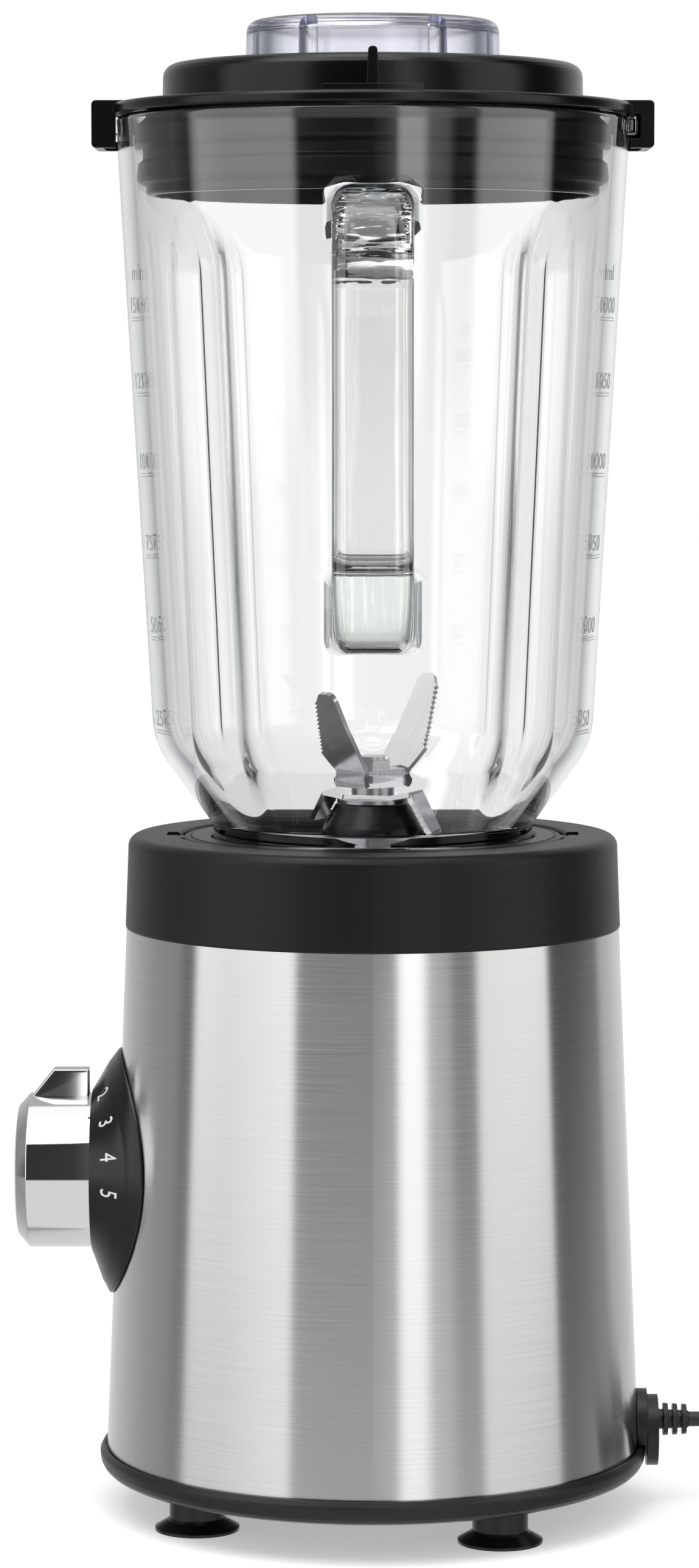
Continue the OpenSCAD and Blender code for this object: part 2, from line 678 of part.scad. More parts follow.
commutator_z = low_plate_z + bracket_t + 3;
brush_at = commutator_r + brush_l / 2 + 0.6;
brush_w = 10;
module brush_holders() color("saddlebrown") for (s = [-1, 1])
  translate([s * brush_at, 0, low_plate_z + bracket_t]) bar(brush_l, brush_w, commutator_h + 5);
module motor_bolts() color("gray") for (x = [-leg_at, leg_at], y = [-leg_at, leg_at])
  translate([x, y, low_plate_z]) {
    cylinder(r = bolt_r, h = motor_top - bracket_t - 1 - low_plate_z);
    translate([0, 0, -3]) cylinder(r = 3.6, h = 3, $fn = 6);
  }
fan_t = 2;
fan_h = 8.4;
fan_z = bearing_low_z - fan_h - fan_t;
module motor_shaft() color("lightsteelblue") translate([0, 0, fan_z - 1])
  cylinder(r = motor_shaft_r, h = pocket_z - 0.2 - fan_z + 1);
// Children are lifted to z and bored for the motor shaft
module on_shaft(z) {
  difference() {
    translate([0, 0, z]) children();
    cylinder(r = motor_shaft_r, h = motor_top);
  }
}
winding_r = stator_bore_r - 3.7;
winding_h = 8;
module armature_core() color("slategray")
on_shaft(stator_z) linear_extrude(stator_h) difference() {
  circle(r = stator_bore_r - air_gap);
  ring_of(stator_bore_r - air_gap, 12) square([8, 1.6], center = true);
}
module armature_windings() color("peru") {
  on_shaft(stator_z - slip - winding_h) cylinder(r1 = winding_r - 4.5, r2 = winding_r, h = winding_h);
  on_shaft(stator_top + slip) cylinder(r1 = winding_r, r2 = winding_r - 4.5, h = winding_h - 1);
}
module commutator() color("goldenrod") on_shaft(commutator_z) cylinder(r = commutator_r, h = commutator_h);
module cooling_fan() color("dimgray") on_shaft(fan_z) {
  cylinder(r = fan_r, h = fan_t);
  cylinder(r = motor_shaft_r + 5, h = fan_h);
  ring_of(motor_shaft_r + 4, fan_blades) rotate([0, 0, 14]) translate([0, -0.8, 0])
    cube([fan_r - motor_shaft_r - 6, 1.6, fan_h]);
}
lobe_at = 10;
lobe_r = 2.7;
// Outline of the dog on the blade shaft, and of the pocket that takes it
module star(grow) {
  circle(r = lobe_at - 2 + grow);
  ring_of(lobe_at, lobe_count) circle(r = lobe_r + grow);
}
module drive_coupling() color("#2b2b2b") difference() {
  translate([0, 0, coupling_z]) cylinder(r = coupling_r, h = coupling_h);
  translate([0, 0, pocket_z]) linear_extrude(coupling_h) star(dog_play);
  translate([0, 0, coupling_z - 1]) cylinder(r = motor_shaft_r, h = coupling_h);
}

// ---- Cord exit ----

// A disc outside the steel, a stub that fits the steel and a spigot through its hole
module cord_guide() color("#1a1a1a") difference() {
  union() {
    to_rear(guide_y, guide_z) cylinder(r = guide_r, h = guide_t);
    difference() {
      to_rear(shell_r_bottom - guide_r, exit_z - 1)
        cylinder(r = guide_r - 0.3, h = guide_y - shell_r_bottom + guide_r + 0.1);
      translate([0, 0, shell_z])
        cylinder(r1 = shell_r_bottom + slip, r2 = shell_r_top + slip, h = shell_h);
      cylinder(r = tray_r + slip, h = shell_z + 1);
    }
    to_rear(relief_y + relief_collar_t + 0.2, exit_z)
      cylinder(r = relief_hole_r - slip, h = guide_y - relief_y - relief_collar_t);
  }
  to_rear(relief_y, exit_z) cylinder(r = relief_r, h = guide_end_y - relief_y + 1);
}
module strain_relief() color("#1a1a1a") {
  stem_r = relief_r - 0.02;
  to_rear(0, exit_z)
    revolve([[0, relief_y, 0], [relief_hole_r - 0.2, relief_y, 0],
             [relief_hole_r - 0.2, relief_y + relief_collar_t, 0], [stem_r, relief_y + relief_collar_t, 0],
             [stem_r, guide_end_y, 0], [2.9, guide_end_y, 0], [cord_d / 2 + 0.3, cord_start_y, 0],
             [0, cord_start_y, 0]]);
  for (k = [0 : 2]) to_rear(guide_end_y + relief_len * (0.18 + 0.3 * k), exit_z)
    cylinder(r1 = relief_r + 0.3 - 0.15 * k, r2 = relief_r + 0.2 - 0.15 * k, h = relief_len * 0.15);
}
module cord_clamp() color("dimgray") {
  translate([0, clamp_y, cord_top]) bar(clamp_w, clamp_d, clamp_t);
  for (x = [-post_at, post_at]) translate([x, clamp_y, cord_top + clamp_t]) cylinder(r = 2.6, h = 1.8);
}
module inner_cord() color("#222222") to_rear(clamp_y - clamp_d, exit_z)
  cylinder(r = cord_d / 2, h = relief_y - clamp_y + clamp_d);

// ---- Cord: its points are chosen by hand ----

cord_route = [[0, cord_start_y, exit_z], [0, 93, 23.9], [0, 97, 23.6], [0, 104, 20.4], [0, 110, 15.2],
              [0, 116, 9.4], [0, 122, 5], [0, 129, 2.6], [0, 137, 2.1], [0, 145, 2.1]];
coil_centre = [-27.3, 150];
coil_mid_r = 23.1;
tail_y = coil_centre.y + coil_mid_r + cord_d;
tail_route = [[-27.3, tail_y, 6.3], [-31, tail_y, 6.3], [-36, tail_y, 6.4],
              [-43, tail_y, 6.7], [-50, tail_y, 6.9]];
cord_sides = 10;
// Rings round a route that lies in the plane across the direction side
function cord_rings(p, side) = [
  for (i = [0 : len(p) - 1])
    let (along = unit(p[min(i + 1, len(p) - 1)] - p[max(i - 1, 0)]), up = cross(along, side))
    [for (k = [0 : cord_sides - 1])
      let (a = 360 * k / cord_sides)
      p[i] + cord_d / 2 * (cos(a) * side + sin(a) * up)]];
module sweep(rings) {
  n = len(rings[0]);
  m = len(rings);
  polyhedron(points = [for (ring = rings) each ring],
    faces = concat([[for (i = [0 : n - 1]) n - 1 - i]], [[for (i = [0 : n - 1]) (m - 1) * n + i]],
      [for (j = [0 : m - 2], i = [0 : n - 1])
        let (a = j * n + i, b = j * n + (i + 1) % n)
        each [[a, b, a + n], [b, b + n, a + n]]]));
}
module cord() color("#222222") sweep(cord_rings(cord_route, [1, 0, 0]));
module cord_tail() color("#222222") sweep(cord_rings(tail_route, [0, 1, 0]));
module cord_coil() color("#222222") translate([coil_centre.x, coil_centre.y, 0])
  revolve([[coil_mid_r - 1.5 * cord_d, 0, 1], [coil_mid_r + 1.5 * cord_d, 0, 1],
           [coil_mid_r + 1.5 * cord_d, 2 * cord_d, 1], [coil_mid_r - 1.5 * cord_d, 2 * cord_d, 1]], 3);
plug_x = -50;
plug_z = 6.9;
plug_neck = 9;
plug_l = 35;
pin_spread = 9.3;
module plug_body() color("#1a1a1a") translate([plug_x, tail_y, plug_z]) rotate([0, -90, 0]) {
  cylinder(r1 = 3.4, r2 = 4.6, h = plug_neck + 1);
  translate([0, 0, plug_neck]) linear_extrude(plug_l - plug_neck)
    polygon(rounded([[-6.85, -12.5, 4], [6.85, -12.5, 4], [6.85, 12.5, 4], [-6.85, 12.5, 4]]));
}
module plug_pins() color("silver") for (s = [-1, 1])
  translate([plug_x - plug_l, tail_y + s * pin_spread, plug_z]) rotate([0, -90, 0]) cylinder(r = 2, h = 19);

// ---- Jug ----

jug_outer = [[0, neck_z, 0], [neck_r, neck_z, 0.8], [neck_r, neck_z + jug_foot_h - 1.6, 0],
             [jug_foot_r, neck_z + jug_foot_h, 0], [jug_r_low, neck_z + jug_curve_h, jug_fillet],
             [jug_r, rim_z, 1.2], [0, rim_z, 0]];
wall_angle = atan2(jug_r_low - jug_foot_r, jug_curve_h - jug_foot_h);
inset = glass_t * [cos(wall_angle), sin(wall_angle)];
foot_run = (jug_foot_r - inset.x - neck_bore_r) / tan(wall_angle);
jug_inner = [[0, neck_z - 1, 0], [neck_bore_r, neck_z - 1, 0],
             [neck_bore_r, neck_z + jug_foot_h + inset.y - foot_run, 3],
             [jug_r_low - glass_t, neck_z + jug_curve_h + 1.6, jug_fillet - glass_t],
             [jug_r - glass_t, rim_z, 0], [jug_r - glass_t, rim_z + 1, 0], [0, rim_z + 1, 0]];
flute_bend = neck_z + jug_curve_h - 1;
flute_axis = flute_r - flute_depth;
// Two round bars that meet in a ball, along the wall and then along the bottom's slope
module flute(r) {
  tilt = atan(jug_slope);
  arch_z = rim_z - flute_drop - flute_r * 0.75;
  for (k = [0 : 3]) rotate([0, 0, 45 + 90 * k]) {
    translate([jug_wall_r(flute_bend) + flute_axis, 0, flute_bend]) {
      rotate([0, tilt, 0]) cylinder(r = r, h = (arch_z - flute_bend) / cos(tilt));
      sphere(r = r);
      rotate([0, 180 + wall_angle - 6, 0]) cylinder(r = r, h = 24);
    }
    translate([jug_wall_r(arch_z) + flute_axis, 0, arch_z]) sphere(r = r);
  }
}
lug_len = hook_len - 8;
module handle() {
  top = neck_z + handle_top_h;
  low = top - handle_h;
  inner = jug_wall_r(low) - glass_t / 2;
  intersection() {
    rotate([90, 0, 0]) translate([0, 0, -handle_w / 2]) linear_extrude(handle_w) difference() {
      polygon(rounded([[inner, low, 0], [handle_x - 4, low, 20], [handle_x, top, 18], [inner, top, 0]], 8));
      polygon(rounded([[inner - 1, low + arm_low_h, 0], [handle_x - grip_t - 2, low + arm_low_h, 9],
                       [handle_x - grip_t, top - arm_top_h, 9], [inner - 1, top - arm_top_h, 0]], 6));
    }
    linear_extrude(rim_z) polygon(rounded([[0, -handle_w / 2, 0], [handle_x, -handle_w / 2, 5],
      [handle_x, handle_w / 2, 5], [0, handle_w / 2, 0]]));
    rotate([90, 0, 90]) linear_extrude(handle_x + 1)
      polygon(rounded([[-handle_w / 2, low, 5], [handle_w / 2, low, 5],
                       [handle_w / 2, top, 5], [-handle_w / 2, top, 5]]));
  }
  translate([jug_wall_r(top) - glass_t / 2, 0, 0]) rotate([90, 0, 90]) linear_extrude(7) {
    polygon(rounded([[-root_w / 2, top - arm_top_h - 2, 6], [root_w / 2, top - arm_top_h - 2, 6],
      [root_w / 2, top + 2, 6], [-root_w / 2, top + 2, 6]]));
  }
  translate([jug_wall_r(low) - glass_t / 2, 0, 0]) rotate([90, 0, 90]) linear_extrude(6)
    polygon(rounded([[-root_w / 2, low - 2, 6], [root_w / 2, low - 2, 6],
      [root_w / 2, low + arm_low_h + 2, 6], [-root_w / 2, low + arm_low_h + 2, 6]]));
}
module glass_jug() color("lightcyan") difference() {
  union() {
    difference() {
      union() {
        rotate_extrude() polygon(rounded(jug_outer, 6));
        handle();
        intersection() {
          translate([0, 0, rim_z - lug_h]) cylinder(r = lug_r, h = lug_h);
          bar(lug_len, 3 * lug_r, rim_z);
        }
      }
      rotate_extrude() polygon(rounded(jug_inner, 6));
    }
    intersection() {
      rotate_extrude() polygon(rounded(jug_outer, 6));
      flute(flute_r + glass_t - 0.4);
    }
  }
  flute(flute_r);
}
module jug_ring() color("black") {
  ring_top = ring_z + ring_h;
  skirt_t = 4;
  bore = neck_r + 0.2;
  lip_r = neck_bore_r + 1.5;
  revolve([[lip_r, shoulder_z, 0], [ring_r - skirt_t, shoulder_z, 0], [ring_r - skirt_t, ring_z, 0],
           [ring_r, ring_z, 0.5], [ring_r, ring_top, 0.8], [ring_r - 1.6, ring_top, 0],
           [jug_foot_r + 0.6, ring_top - 3.4, 0], [bore, ring_top - 4.4, 0],
           [bore, flange_z, 0], [lip_r, flange_z, 0]]);
  for (s = [-1, 1]) translate([0, s * (ring_r + key_out / 2 - 0.5), key_z])
    bar(key_w, key_out + 1, ring_top - 0.5 - key_z);
}
module jug_gasket() color("gray")
  translate([0, 0, flange_z + flange_t]) tube(neck_r - 0.4, neck_bore_r + 0.2, gasket_t);
crown_r = neck_bore_r - 2.1;
crown_t = 2.4;
module blade_base() color("#222222")
  revolve([[bush_r, disc_z - 5.2, 0], [bush_r + 3, disc_z - 5.2, 0], [bush_r + 3, disc_z - 2.7, 0],
           [crown_r - crown_t, disc_z - 2.7, 0], [crown_r - crown_t, flange_z, 0], [neck_r - 0.4, flange_z, 0],
           [neck_r - 0.4, flange_z + flange_t, 0], [crown_r, flange_z + flange_t, 0], [crown_r, disc_z, 0.8],
           [hub_r - 4.4, disc_z, 0], [hub_r - 4.4, disc_z + 1.1, 0], [hub_r - 2.7, disc_z + 1.1, 0],
           [hub_r + 0.6, disc_z + 5.4, 4], [hub_top_r, hub_top_z, 0.8], [bush_r, hub_top_z, 0]]);
module blade_plate() color("silver") translate([0, 0, disc_z]) tube(crown_r - 1.2, hub_r - 4.3, 0.8);
module blade_bush() color("goldenrod") translate([0, 0, disc_z - 4.4])
  tube(bush_r, blade_shaft_r + run, hub_top_z - disc_z + 3);

module blade_shaft() color("lightsteelblue") translate([0, 0, dog_z + 3])
  cylinder(r = blade_shaft_r, h = nut_z + 2 - dog_z - 3);
// An edge from a to b with n teeth that stand out along x
function toothed(a, b, n) = [for (k = [0 : n - 1]) each [
  [a.x + (b.x - a.x) * k / n + tooth, a.y + (b.y - a.y) * k / n, 0],
  [a.x + (b.x - a.x) * (k + 0.85) / n - tooth, a.y + (b.y - a.y) * (k + 0.85) / n, 0]]];
blade_root = 7;
root_shift = 1.4;
root_plain = root_shift - blade_w / 2;
root_toothed = root_shift + blade_w / 2;
// An upper wing of length l, from its root at y = 0 to its rounded tip
function wing(l) = rounded(concat([[root_plain, 0, 0], [root_toothed, 0, 0]],
  toothed([root_toothed + wing_bulge, l * 0.27], [root_toothed - 4.6, l * 0.93], teeth),
  [[root_plain + 5.2, l, 1.2], [root_plain, l, 2.4]]), 5);
module upper_wing_at(turn, l, angle) rotate([0, 0, turn])
  translate([0, blade_root, upper_blade_z]) rotate([angle, 0, 0]) linear_extrude(blade_t) polygon(wing(l));
// The centre plate slants a little from one wing's root to the other's
module upper_blades() color("silver") rotate([0, 0, 45]) {
  reach = blade_root + 0.7;
  plain = root_plain + 0.5;
  toothed = root_toothed - 0.5;
  translate([0, 0, upper_blade_z]) linear_extrude(blade_t) difference() {
    polygon([[plain, reach], [toothed, reach], [-plain, -reach], [-toothed, -reach]]);
    circle(r = blade_shaft_r);
  }
  upper_wing_at(0, tall_wing, tall_angle);
  upper_wing_at(180, upper_wing, upper_angle);
}
// A toothed strip of a lower blade, from its root at y = 0
module lower_strip(l, w, n) linear_extrude(blade_t)
  polygon(rounded(concat([[-w / 2, 0, 0], [w / 2, 0, 0]], toothed([w / 2, l * 0.2], [w / 2 - 0.5, l * 0.95], n),
                         [[w / 2 - 0.8, l, 0], [0.8 - w / 2, l, 0]]), 4));
// Each lower blade rises on its shoulder and then falls beside the hub
module lower_blades() color("silver") rotate([0, 0, -20]) {
  shoulder = 6;
  rise = 10;
  tip_angle = 80;
  tip_inset = 1.6;
  reach = blade_root + 0.7;
  fall_y = (shoulder - 1) * cos(rise);
  fall_z = (shoulder - 1) * sin(rise) + 0.3;
  translate([0, 0, lower_blade_z]) difference() {
    bar(blade_w - 1, 2 * reach, blade_t);
    translate([0, 0, -1]) cylinder(r = blade_shaft_r, h = blade_t + 2);
  }
  for (a = [0, 180]) rotate([0, 0, a]) translate([0, blade_root, lower_blade_z]) {
    rotate([rise, 0, 0]) translate([-blade_w / 2, 0, 0.1]) cube([blade_w, shoulder, blade_t - 0.1]);
    translate([0, fall_y, fall_z]) rotate([-lower_angle, 0, 0])
      lower_strip(a == 0 ? lower_wing : short_wing, blade_w - 1, 6);
  }
  translate([0, blade_root + fall_y + (lower_wing - 1) * cos(lower_angle) + 0.2,
             lower_blade_z + fall_z - (lower_wing - 1) * sin(lower_angle)])
    rotate([-tip_angle, 0, 0]) lower_strip(lower_tip, blade_w - 1 - 2 * tip_inset, 3);
}
module blade_washers() color("silver") {
  translate([0, 0, hub_top_z + gap]) tube(hub_top_r - 0.4, blade_shaft_r, washer_t);
  translate([0, 0, lower_blade_z + blade_t]) tube(6, blade_shaft_r, 2);
}
module blade_nut() color("silver") difference() {
  union() {
    translate([0, 0, nut_z]) cylinder(r = 5.5, h = 3.2, $fn = 6);
    translate([0, 0, nut_z]) cylinder(r = 4.2, h = 4.4);
  }
  translate([0, 0, nut_z - 1]) cylinder(r = blade_shaft_r, h = 3);
}
module driven_dog() color("#3a3a3a") difference() {
  translate([0, 0, dog_z]) linear_extrude(dog_h) star(0);
  translate([0, 0, dog_z + 3]) cylinder(r = blade_shaft_r, h = 20);
}

// ---- Lid and cap ----

skirt_z = lid_z - skirt_h;
hook_h = 13;
hook_wall = 2.5;
hook_top = flange_top + 0.6;
filler_h = 17;
module lid() color("black") {
  revolve([[filler_r, lid_top - filler_h, 0], [filler_r + 2, lid_top - filler_h, 0],
           [filler_r + 2, lid_top - lid_t, 0],
           [lid_top_r - lid_t, lid_top - lid_t, 1.5], [lid_top_r - lid_t, lid_z + 2, 0],
           [skirt_r - lid_t, lid_z, 0], [skirt_r - lid_t, skirt_z, 0],
           [skirt_r, skirt_z, 0.8], [skirt_r, lid_z, 0], [lid_flange_r, lid_z, 0.6],
           [lid_flange_r, flange_top, 1.2], [lid_top_r + 0.2, flange_top, 0.6],
           [lid_top_r, lid_top, 3.6], [filler_r, lid_top, 0.5]]);
  lid_fin();
  for (a = [0, 180]) rotate([0, 0, a]) hook();
}
// A thin upright fin on a low pad marks the side of the handle
module lid_fin() {
  pad_w = 27;
  fin_t = 3.2;
  fin_l = 10;
  fin_h = lid_top_h + 0.8;
  intersection() {
    translate([0, 0, flange_top - 0.5]) cylinder(r = lid_flange_r - 0.8, h = 2.1);
    translate([lid_top_r + flange_w / 2, 0, 0]) bar(flange_w + 10, pad_w, lid_top);
  }
  translate([lid_top_r - 2, 0, flange_top]) rotate([90, 0, 90]) linear_extrude(fin_l)
    polygon(rounded([[-fin_t / 2, -0.3, 0], [fin_t / 2, -0.3, 0],
                     [fin_t / 2 - 0.4, fin_h, 1], [0.4 - fin_t / 2, fin_h, 1]], 4));
}
// A hook at +Y stands over a lug: a top, an outer wall, a wall at one end and a low catch at the other
module hook() {
  catch_x = lug_len / 2 + 0.7;
  pocket_x = hook_wall - hook_len / 2;
  lug_play = 1.6;
  difference() {
    rotate([90, 0, 90]) translate([0, 0, -hook_len / 2]) linear_extrude(hook_len)
      polygon(rounded([[lid_flange_r - 8, hook_top - hook_h, 0], [hook_r, hook_top - hook_h, 1.2],
                       [hook_r, hook_top, 1.2], [lid_flange_r - 8, hook_top, 0]], 4));
    translate([0, 0, hook_top - hook_h - 1]) cylinder(r = jug_r + gap, h = lid_z - hook_top + hook_h + 1);
    intersection() {
      translate([0, 0, hook_top - hook_h - 1]) cylinder(r = lug_r + 1, h = lid_z - hook_top + hook_h + 1);
      union() {
        translate([pocket_x, 0, 0]) cube([catch_x - pocket_x, hook_r, lid_z]);
        translate([0, 0, lid_z - lug_h - lug_play]) cube([hook_len, hook_r, lug_h + lug_play]);
      }
    }
  }
}
// A rubber ring with two soft lips that stop just short of the glass
module lid_gasket() color("#333333") {
  low_z = skirt_z + lip_rise;
  top_z = low_z + lip_pitch;
  groove_r = skirt_r + 0.9;
  revolve([[skirt_r, low_z - 2.2, 0], [seal_r(low_z) - 0.4, low_z - 1.2, 0], [seal_r(low_z), low_z, 0],
           [seal_r(low_z) - 0.4, low_z + 3.8, 0], [groove_r, low_z + 5, 0], [groove_r, top_z - 2.4, 0],
           [seal_r(top_z) - 0.2, top_z - 1.2, 0], [seal_r(top_z), top_z, 0],
           [seal_r(top_z) - 0.5, top_z + 3.8, 0], [skirt_r, top_z + 5.2, 0]]);
}
function seal_r(z) = jug_wall_r(z) - glass_t - 0.6;
cap_z = lid_top + gap;
cap_neck_r = filler_r - gap;
cap_neck_h = 18;
cap_top_t = 2.4;
notch_r = 3.4;
module measuring_cap() color("lavender") difference() {
  cap_top = cap_z + cap_h;
  revolve([[0, cap_top - cap_top_t, 0], [cap_neck_r - cap_t - 0.6, cap_top - cap_top_t, 2],
           [cap_neck_r - cap_t, cap_z - cap_neck_h, 0], [cap_neck_r, cap_z - cap_neck_h, 0.5],
           [cap_neck_r, cap_z, 0], [cap_r, cap_z, 0.8], [cap_r - 0.3, cap_top, 3.4], [0, cap_top, 0]]);
  ring_of(cap_r + notch_r - 2, cap_notches, 180 / cap_notches)
    translate([0, 0, cap_z - 1]) cylinder(r = notch_r, h = cap_h + 2);
}

steel_shell();
inner_housing();
base_tray();
top_collar();
foot(0);  // foot_rear_right
foot(1);  // foot_front_right
foot(2);  // foot_rear_left
foot(3);  // foot_front_left
tray_screws();
dial_plate();
rotary_switch();
control_board();
motor_stator();
field_coils();
upper_bracket();
lower_bracket();
bearing(bearing_top_z);  // upper_bearing
bearing(bearing_low_z);  // lower_bearing
brush_holders();
motor_bolts();
shelf_screws();
cord_guide();
strain_relief();
cord_clamp();
inner_cord();
motor_shaft();
armature_core();
armature_windings();
commutator();
cooling_fan();
drive_coupling();
knob();
knob_spindle();
glass_jug();
jug_ring();
jug_gasket();
blade_base();
blade_plate();
blade_bush();
blade_shaft();
upper_blades();
lower_blades();
blade_washers();
blade_nut();
driven_dog();
lid();
lid_gasket();
measuring_cap();
cord();
cord_coil();
cord_tail();
plug_body();
plug_pins();
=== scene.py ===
# Countertop blender: its finish and fine forms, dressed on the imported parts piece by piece.
import math

import bpy
from mathutils import Matrix, Vector


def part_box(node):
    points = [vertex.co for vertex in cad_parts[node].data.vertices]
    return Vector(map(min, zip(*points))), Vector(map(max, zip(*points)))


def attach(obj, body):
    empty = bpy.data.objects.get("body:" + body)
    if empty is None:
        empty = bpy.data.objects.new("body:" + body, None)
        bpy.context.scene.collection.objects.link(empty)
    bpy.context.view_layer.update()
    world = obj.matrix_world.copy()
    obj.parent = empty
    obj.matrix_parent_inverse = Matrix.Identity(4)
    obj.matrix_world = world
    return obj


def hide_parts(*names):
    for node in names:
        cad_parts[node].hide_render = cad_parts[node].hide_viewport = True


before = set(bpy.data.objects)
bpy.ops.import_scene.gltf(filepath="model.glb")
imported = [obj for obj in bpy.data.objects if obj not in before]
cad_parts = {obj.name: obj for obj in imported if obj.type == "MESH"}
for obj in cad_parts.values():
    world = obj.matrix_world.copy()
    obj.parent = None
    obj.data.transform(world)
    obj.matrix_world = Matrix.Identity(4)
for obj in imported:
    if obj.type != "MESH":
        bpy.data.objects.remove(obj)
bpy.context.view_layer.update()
scene = bpy.context.scene


# ---- Camera ----
# The blender is looked at from the jug handle's side, a little above its middle. The camera
# stands 1.3 m away with a long lens, so the upright edges stay nearly parallel.

CAMERA_X, CAMERA_Z, CAMERA_DOWN = 1.340, 0.3174, 4.82
LENS, SENSOR, LENS_SHIFT = 110.2, 36, -0.0149

camera = bpy.data.objects.new("camera", bpy.data.cameras.new("camera"))
scene.collection.objects.link(camera)
scene.camera = camera
camera.location = (CAMERA_X, 0, CAMERA_Z)
camera.rotation_euler = (math.radians(90 - CAMERA_DOWN), 0, math.radians(90))
camera.data.lens = LENS
camera.data.sensor_width = SENSOR
camera.data.shift_x = LENS_SHIFT
camera.data.clip_end = 50
scene.view_settings.view_transform = "Standard"
# Light goes through many walls of glass and plastic, one behind the other
scene.cycles.max_bounces = 32
scene.cycles.transmission_bounces = 32
scene.cycles.glossy_bounces = 12
scene.cycles.transparent_max_bounces = 16


# ---- Studio ----
# A white floor in a white room, under one broad lamp. What shiny surfaces mirror is a ring of
# upright white panels with dark gaps between them, as a product studio sets round metal and glass.

WHITE = (1, 1, 1, 1)


def add(tree, kind, inputs=None, **settings):
    """A node of that kind, with its settings and the values or links of its inputs."""
    made = tree.nodes.new(kind)
    for key, value in settings.items():
        setattr(made, key, value)
    for key, value in (inputs or {}).items():
        if isinstance(value, bpy.types.NodeSocket):
            tree.links.new(value, made.inputs[key])
        else:
            made.inputs[key].default_value = value
    return made


def maths(tree, operation, a, b=0.0, c=0.0, clamp=False):
    """The result of an operation on up to three values or links."""
    return add(tree, "ShaderNodeMath", {0: a, 1: b, 2: c}, operation=operation, use_clamp=clamp).outputs[0]


def ramp(tree, factor, stops):
    """A colour ramp with stops of (place from 0 to 1, grey or colour)."""
    made = add(tree, "ShaderNodeValToRGB", {"Fac": factor})
    elements = made.color_ramp.elements
    while len(elements) < len(stops):
        elements.new(0.5)
    for element, (place, tint) in zip(elements, stops):
        element.position = place
        element.color = (*tint, 1) if isinstance(tint, tuple) else (tint, tint, tint, 1)
    return made.outputs["Color"]


def blended(tree, factor, first, second, way="MIX"):
    """Two colours mixed, from the first alone at a factor of 0 to the second at 1."""
    made = add(tree, "ShaderNodeMix", {"Factor": factor, 6: first, 7: second},
               data_type="RGBA", blend_type=way)
    return made.outputs[2]


# Brightness of the panels and gaps by their bearing, in degrees from the handle's side
PANELS = [(-180, 0.45), (-158, 0.45), (-140, 0.38), (-118, 0.26), (-101, 0.26), (-96, 0.10), (-91, 0.10),
          (-87, 1.35), (-70, 1.15), (-37, 1.25), (-34, 0.05), (-14, 0.03), (0, 0.04), (6, 0.14), (10, 0.3),
          (13, 1.6), (22, 1.6), (26, 0.5), (34, 0.35), (38, 0.05), (47, 0.05), (50, 1.1), (70, 1.25),
          (86, 1.3), (89, 0.02), (108, 0.02), (124, 0.1), (130, 0.45), (150, 0.62), (180, 0.5)]
# Brightness of the table below them, by the share of a full turn from the back
TABLE = [(0.0, 0.68), (0.12, 0.5), (0.22, 0.3), (0.4, 0.72), (0.6, 0.72), (0.77, 0.25), (0.9, 0.5),
         (1.0, 0.68)]
CEILING_WHITE = (1.1, 1.1, 1.1, 1)
CEILING_LEAN = 0.33

world = bpy.data.worlds.new("studio")
scene.world = world
world.use_nodes = True
sky = world.node_tree
sky.nodes.clear()
direction = add(sky, "ShaderNodeSeparateXYZ", {0: add(sky, "ShaderNodeTexCoord").outputs["Generated"]})
bearing = maths(sky, "ARCTAN2", direction.outputs["Y"], direction.outputs["X"])
turn = maths(sky, "ADD", maths(sky, "DIVIDE", bearing, 2 * math.pi), 0.5)
panels = ramp(sky, turn, [((degrees + 180) / 360, grey) for degrees, grey in PANELS])
# Height is 0 straight down, 0.5 on the horizon and 1 straight up. Near the zenith the ceiling's
# light takes over, further down at the back than at the handle's side, and below the horizon the
# pale table does.
height = maths(sky, "MULTIPLY_ADD", direction.outputs["Z"], 0.5, 0.5)
lean = maths(sky, "MULTIPLY", maths(sky, "MAXIMUM", direction.outputs["X"], 0.0), CEILING_LEAN)
ceiling = ramp(sky, maths(sky, "SUBTRACT", height, lean), [(0.93, 0.0), (0.95, 1.0)])
ground = ramp(sky, height, [(0.436, 1.0), (0.447, 0.0)])
mirrored = blended(sky, ground, panels, ramp(sky, turn, TABLE))
mirrored = blended(sky, ceiling, mirrored, CEILING_WHITE)

# Through glass the lit backdrop shows behind the blender. It falls away into the dark round it
# and towards the floor.
BACKDROP = [(0.0, 0.02), (0.3, 0.03), (0.6, (0.09, 0.1, 0.11)), (0.8, (0.34, 0.35, 0.37)),
            (0.9, (0.7, 0.72, 0.7)), (0.955, (0.9, 0.92, 0.9)), (0.985, 1.0)]
FALL_LOW = [(0.16, (0.1, 0.1, 0.16)), (0.24, (0.36, 0.37, 0.45)), (0.30, (0.74, 0.75, 0.8)),
            (0.36, (1, 1, 1))]
backward = maths(sky, "MULTIPLY", direction.outputs["X"], -1, clamp=True)
backdrop = ramp(sky, backward, BACKDROP)
low = ramp(sky, height, FALL_LOW)
behind = blended(sky, ramp(sky, backward, [(0.1, 0.0), (0.34, 1.0)]), mirrored, backdrop)
behind = blended(sky, 1.0, behind, low, "MULTIPLY")
# A bright window stands high up on one side, and the other side is dark
across = maths(sky, "MULTIPLY_ADD", direction.outputs["Y"], 0.5, 0.5)
window = ramp(sky, across, [(0.3, 1.15), (0.45, 0.4), (0.6, 0.1)])
behind = blended(sky, ramp(sky, height, [(0.72, 0.0), (0.78, 1.0)]), behind, window)
light_path = add(sky, "ShaderNodeLightPath")


def room_light(color, strength):
    return add(sky, "ShaderNodeBackground", {"Color": color, "Strength": strength}).outputs[0]


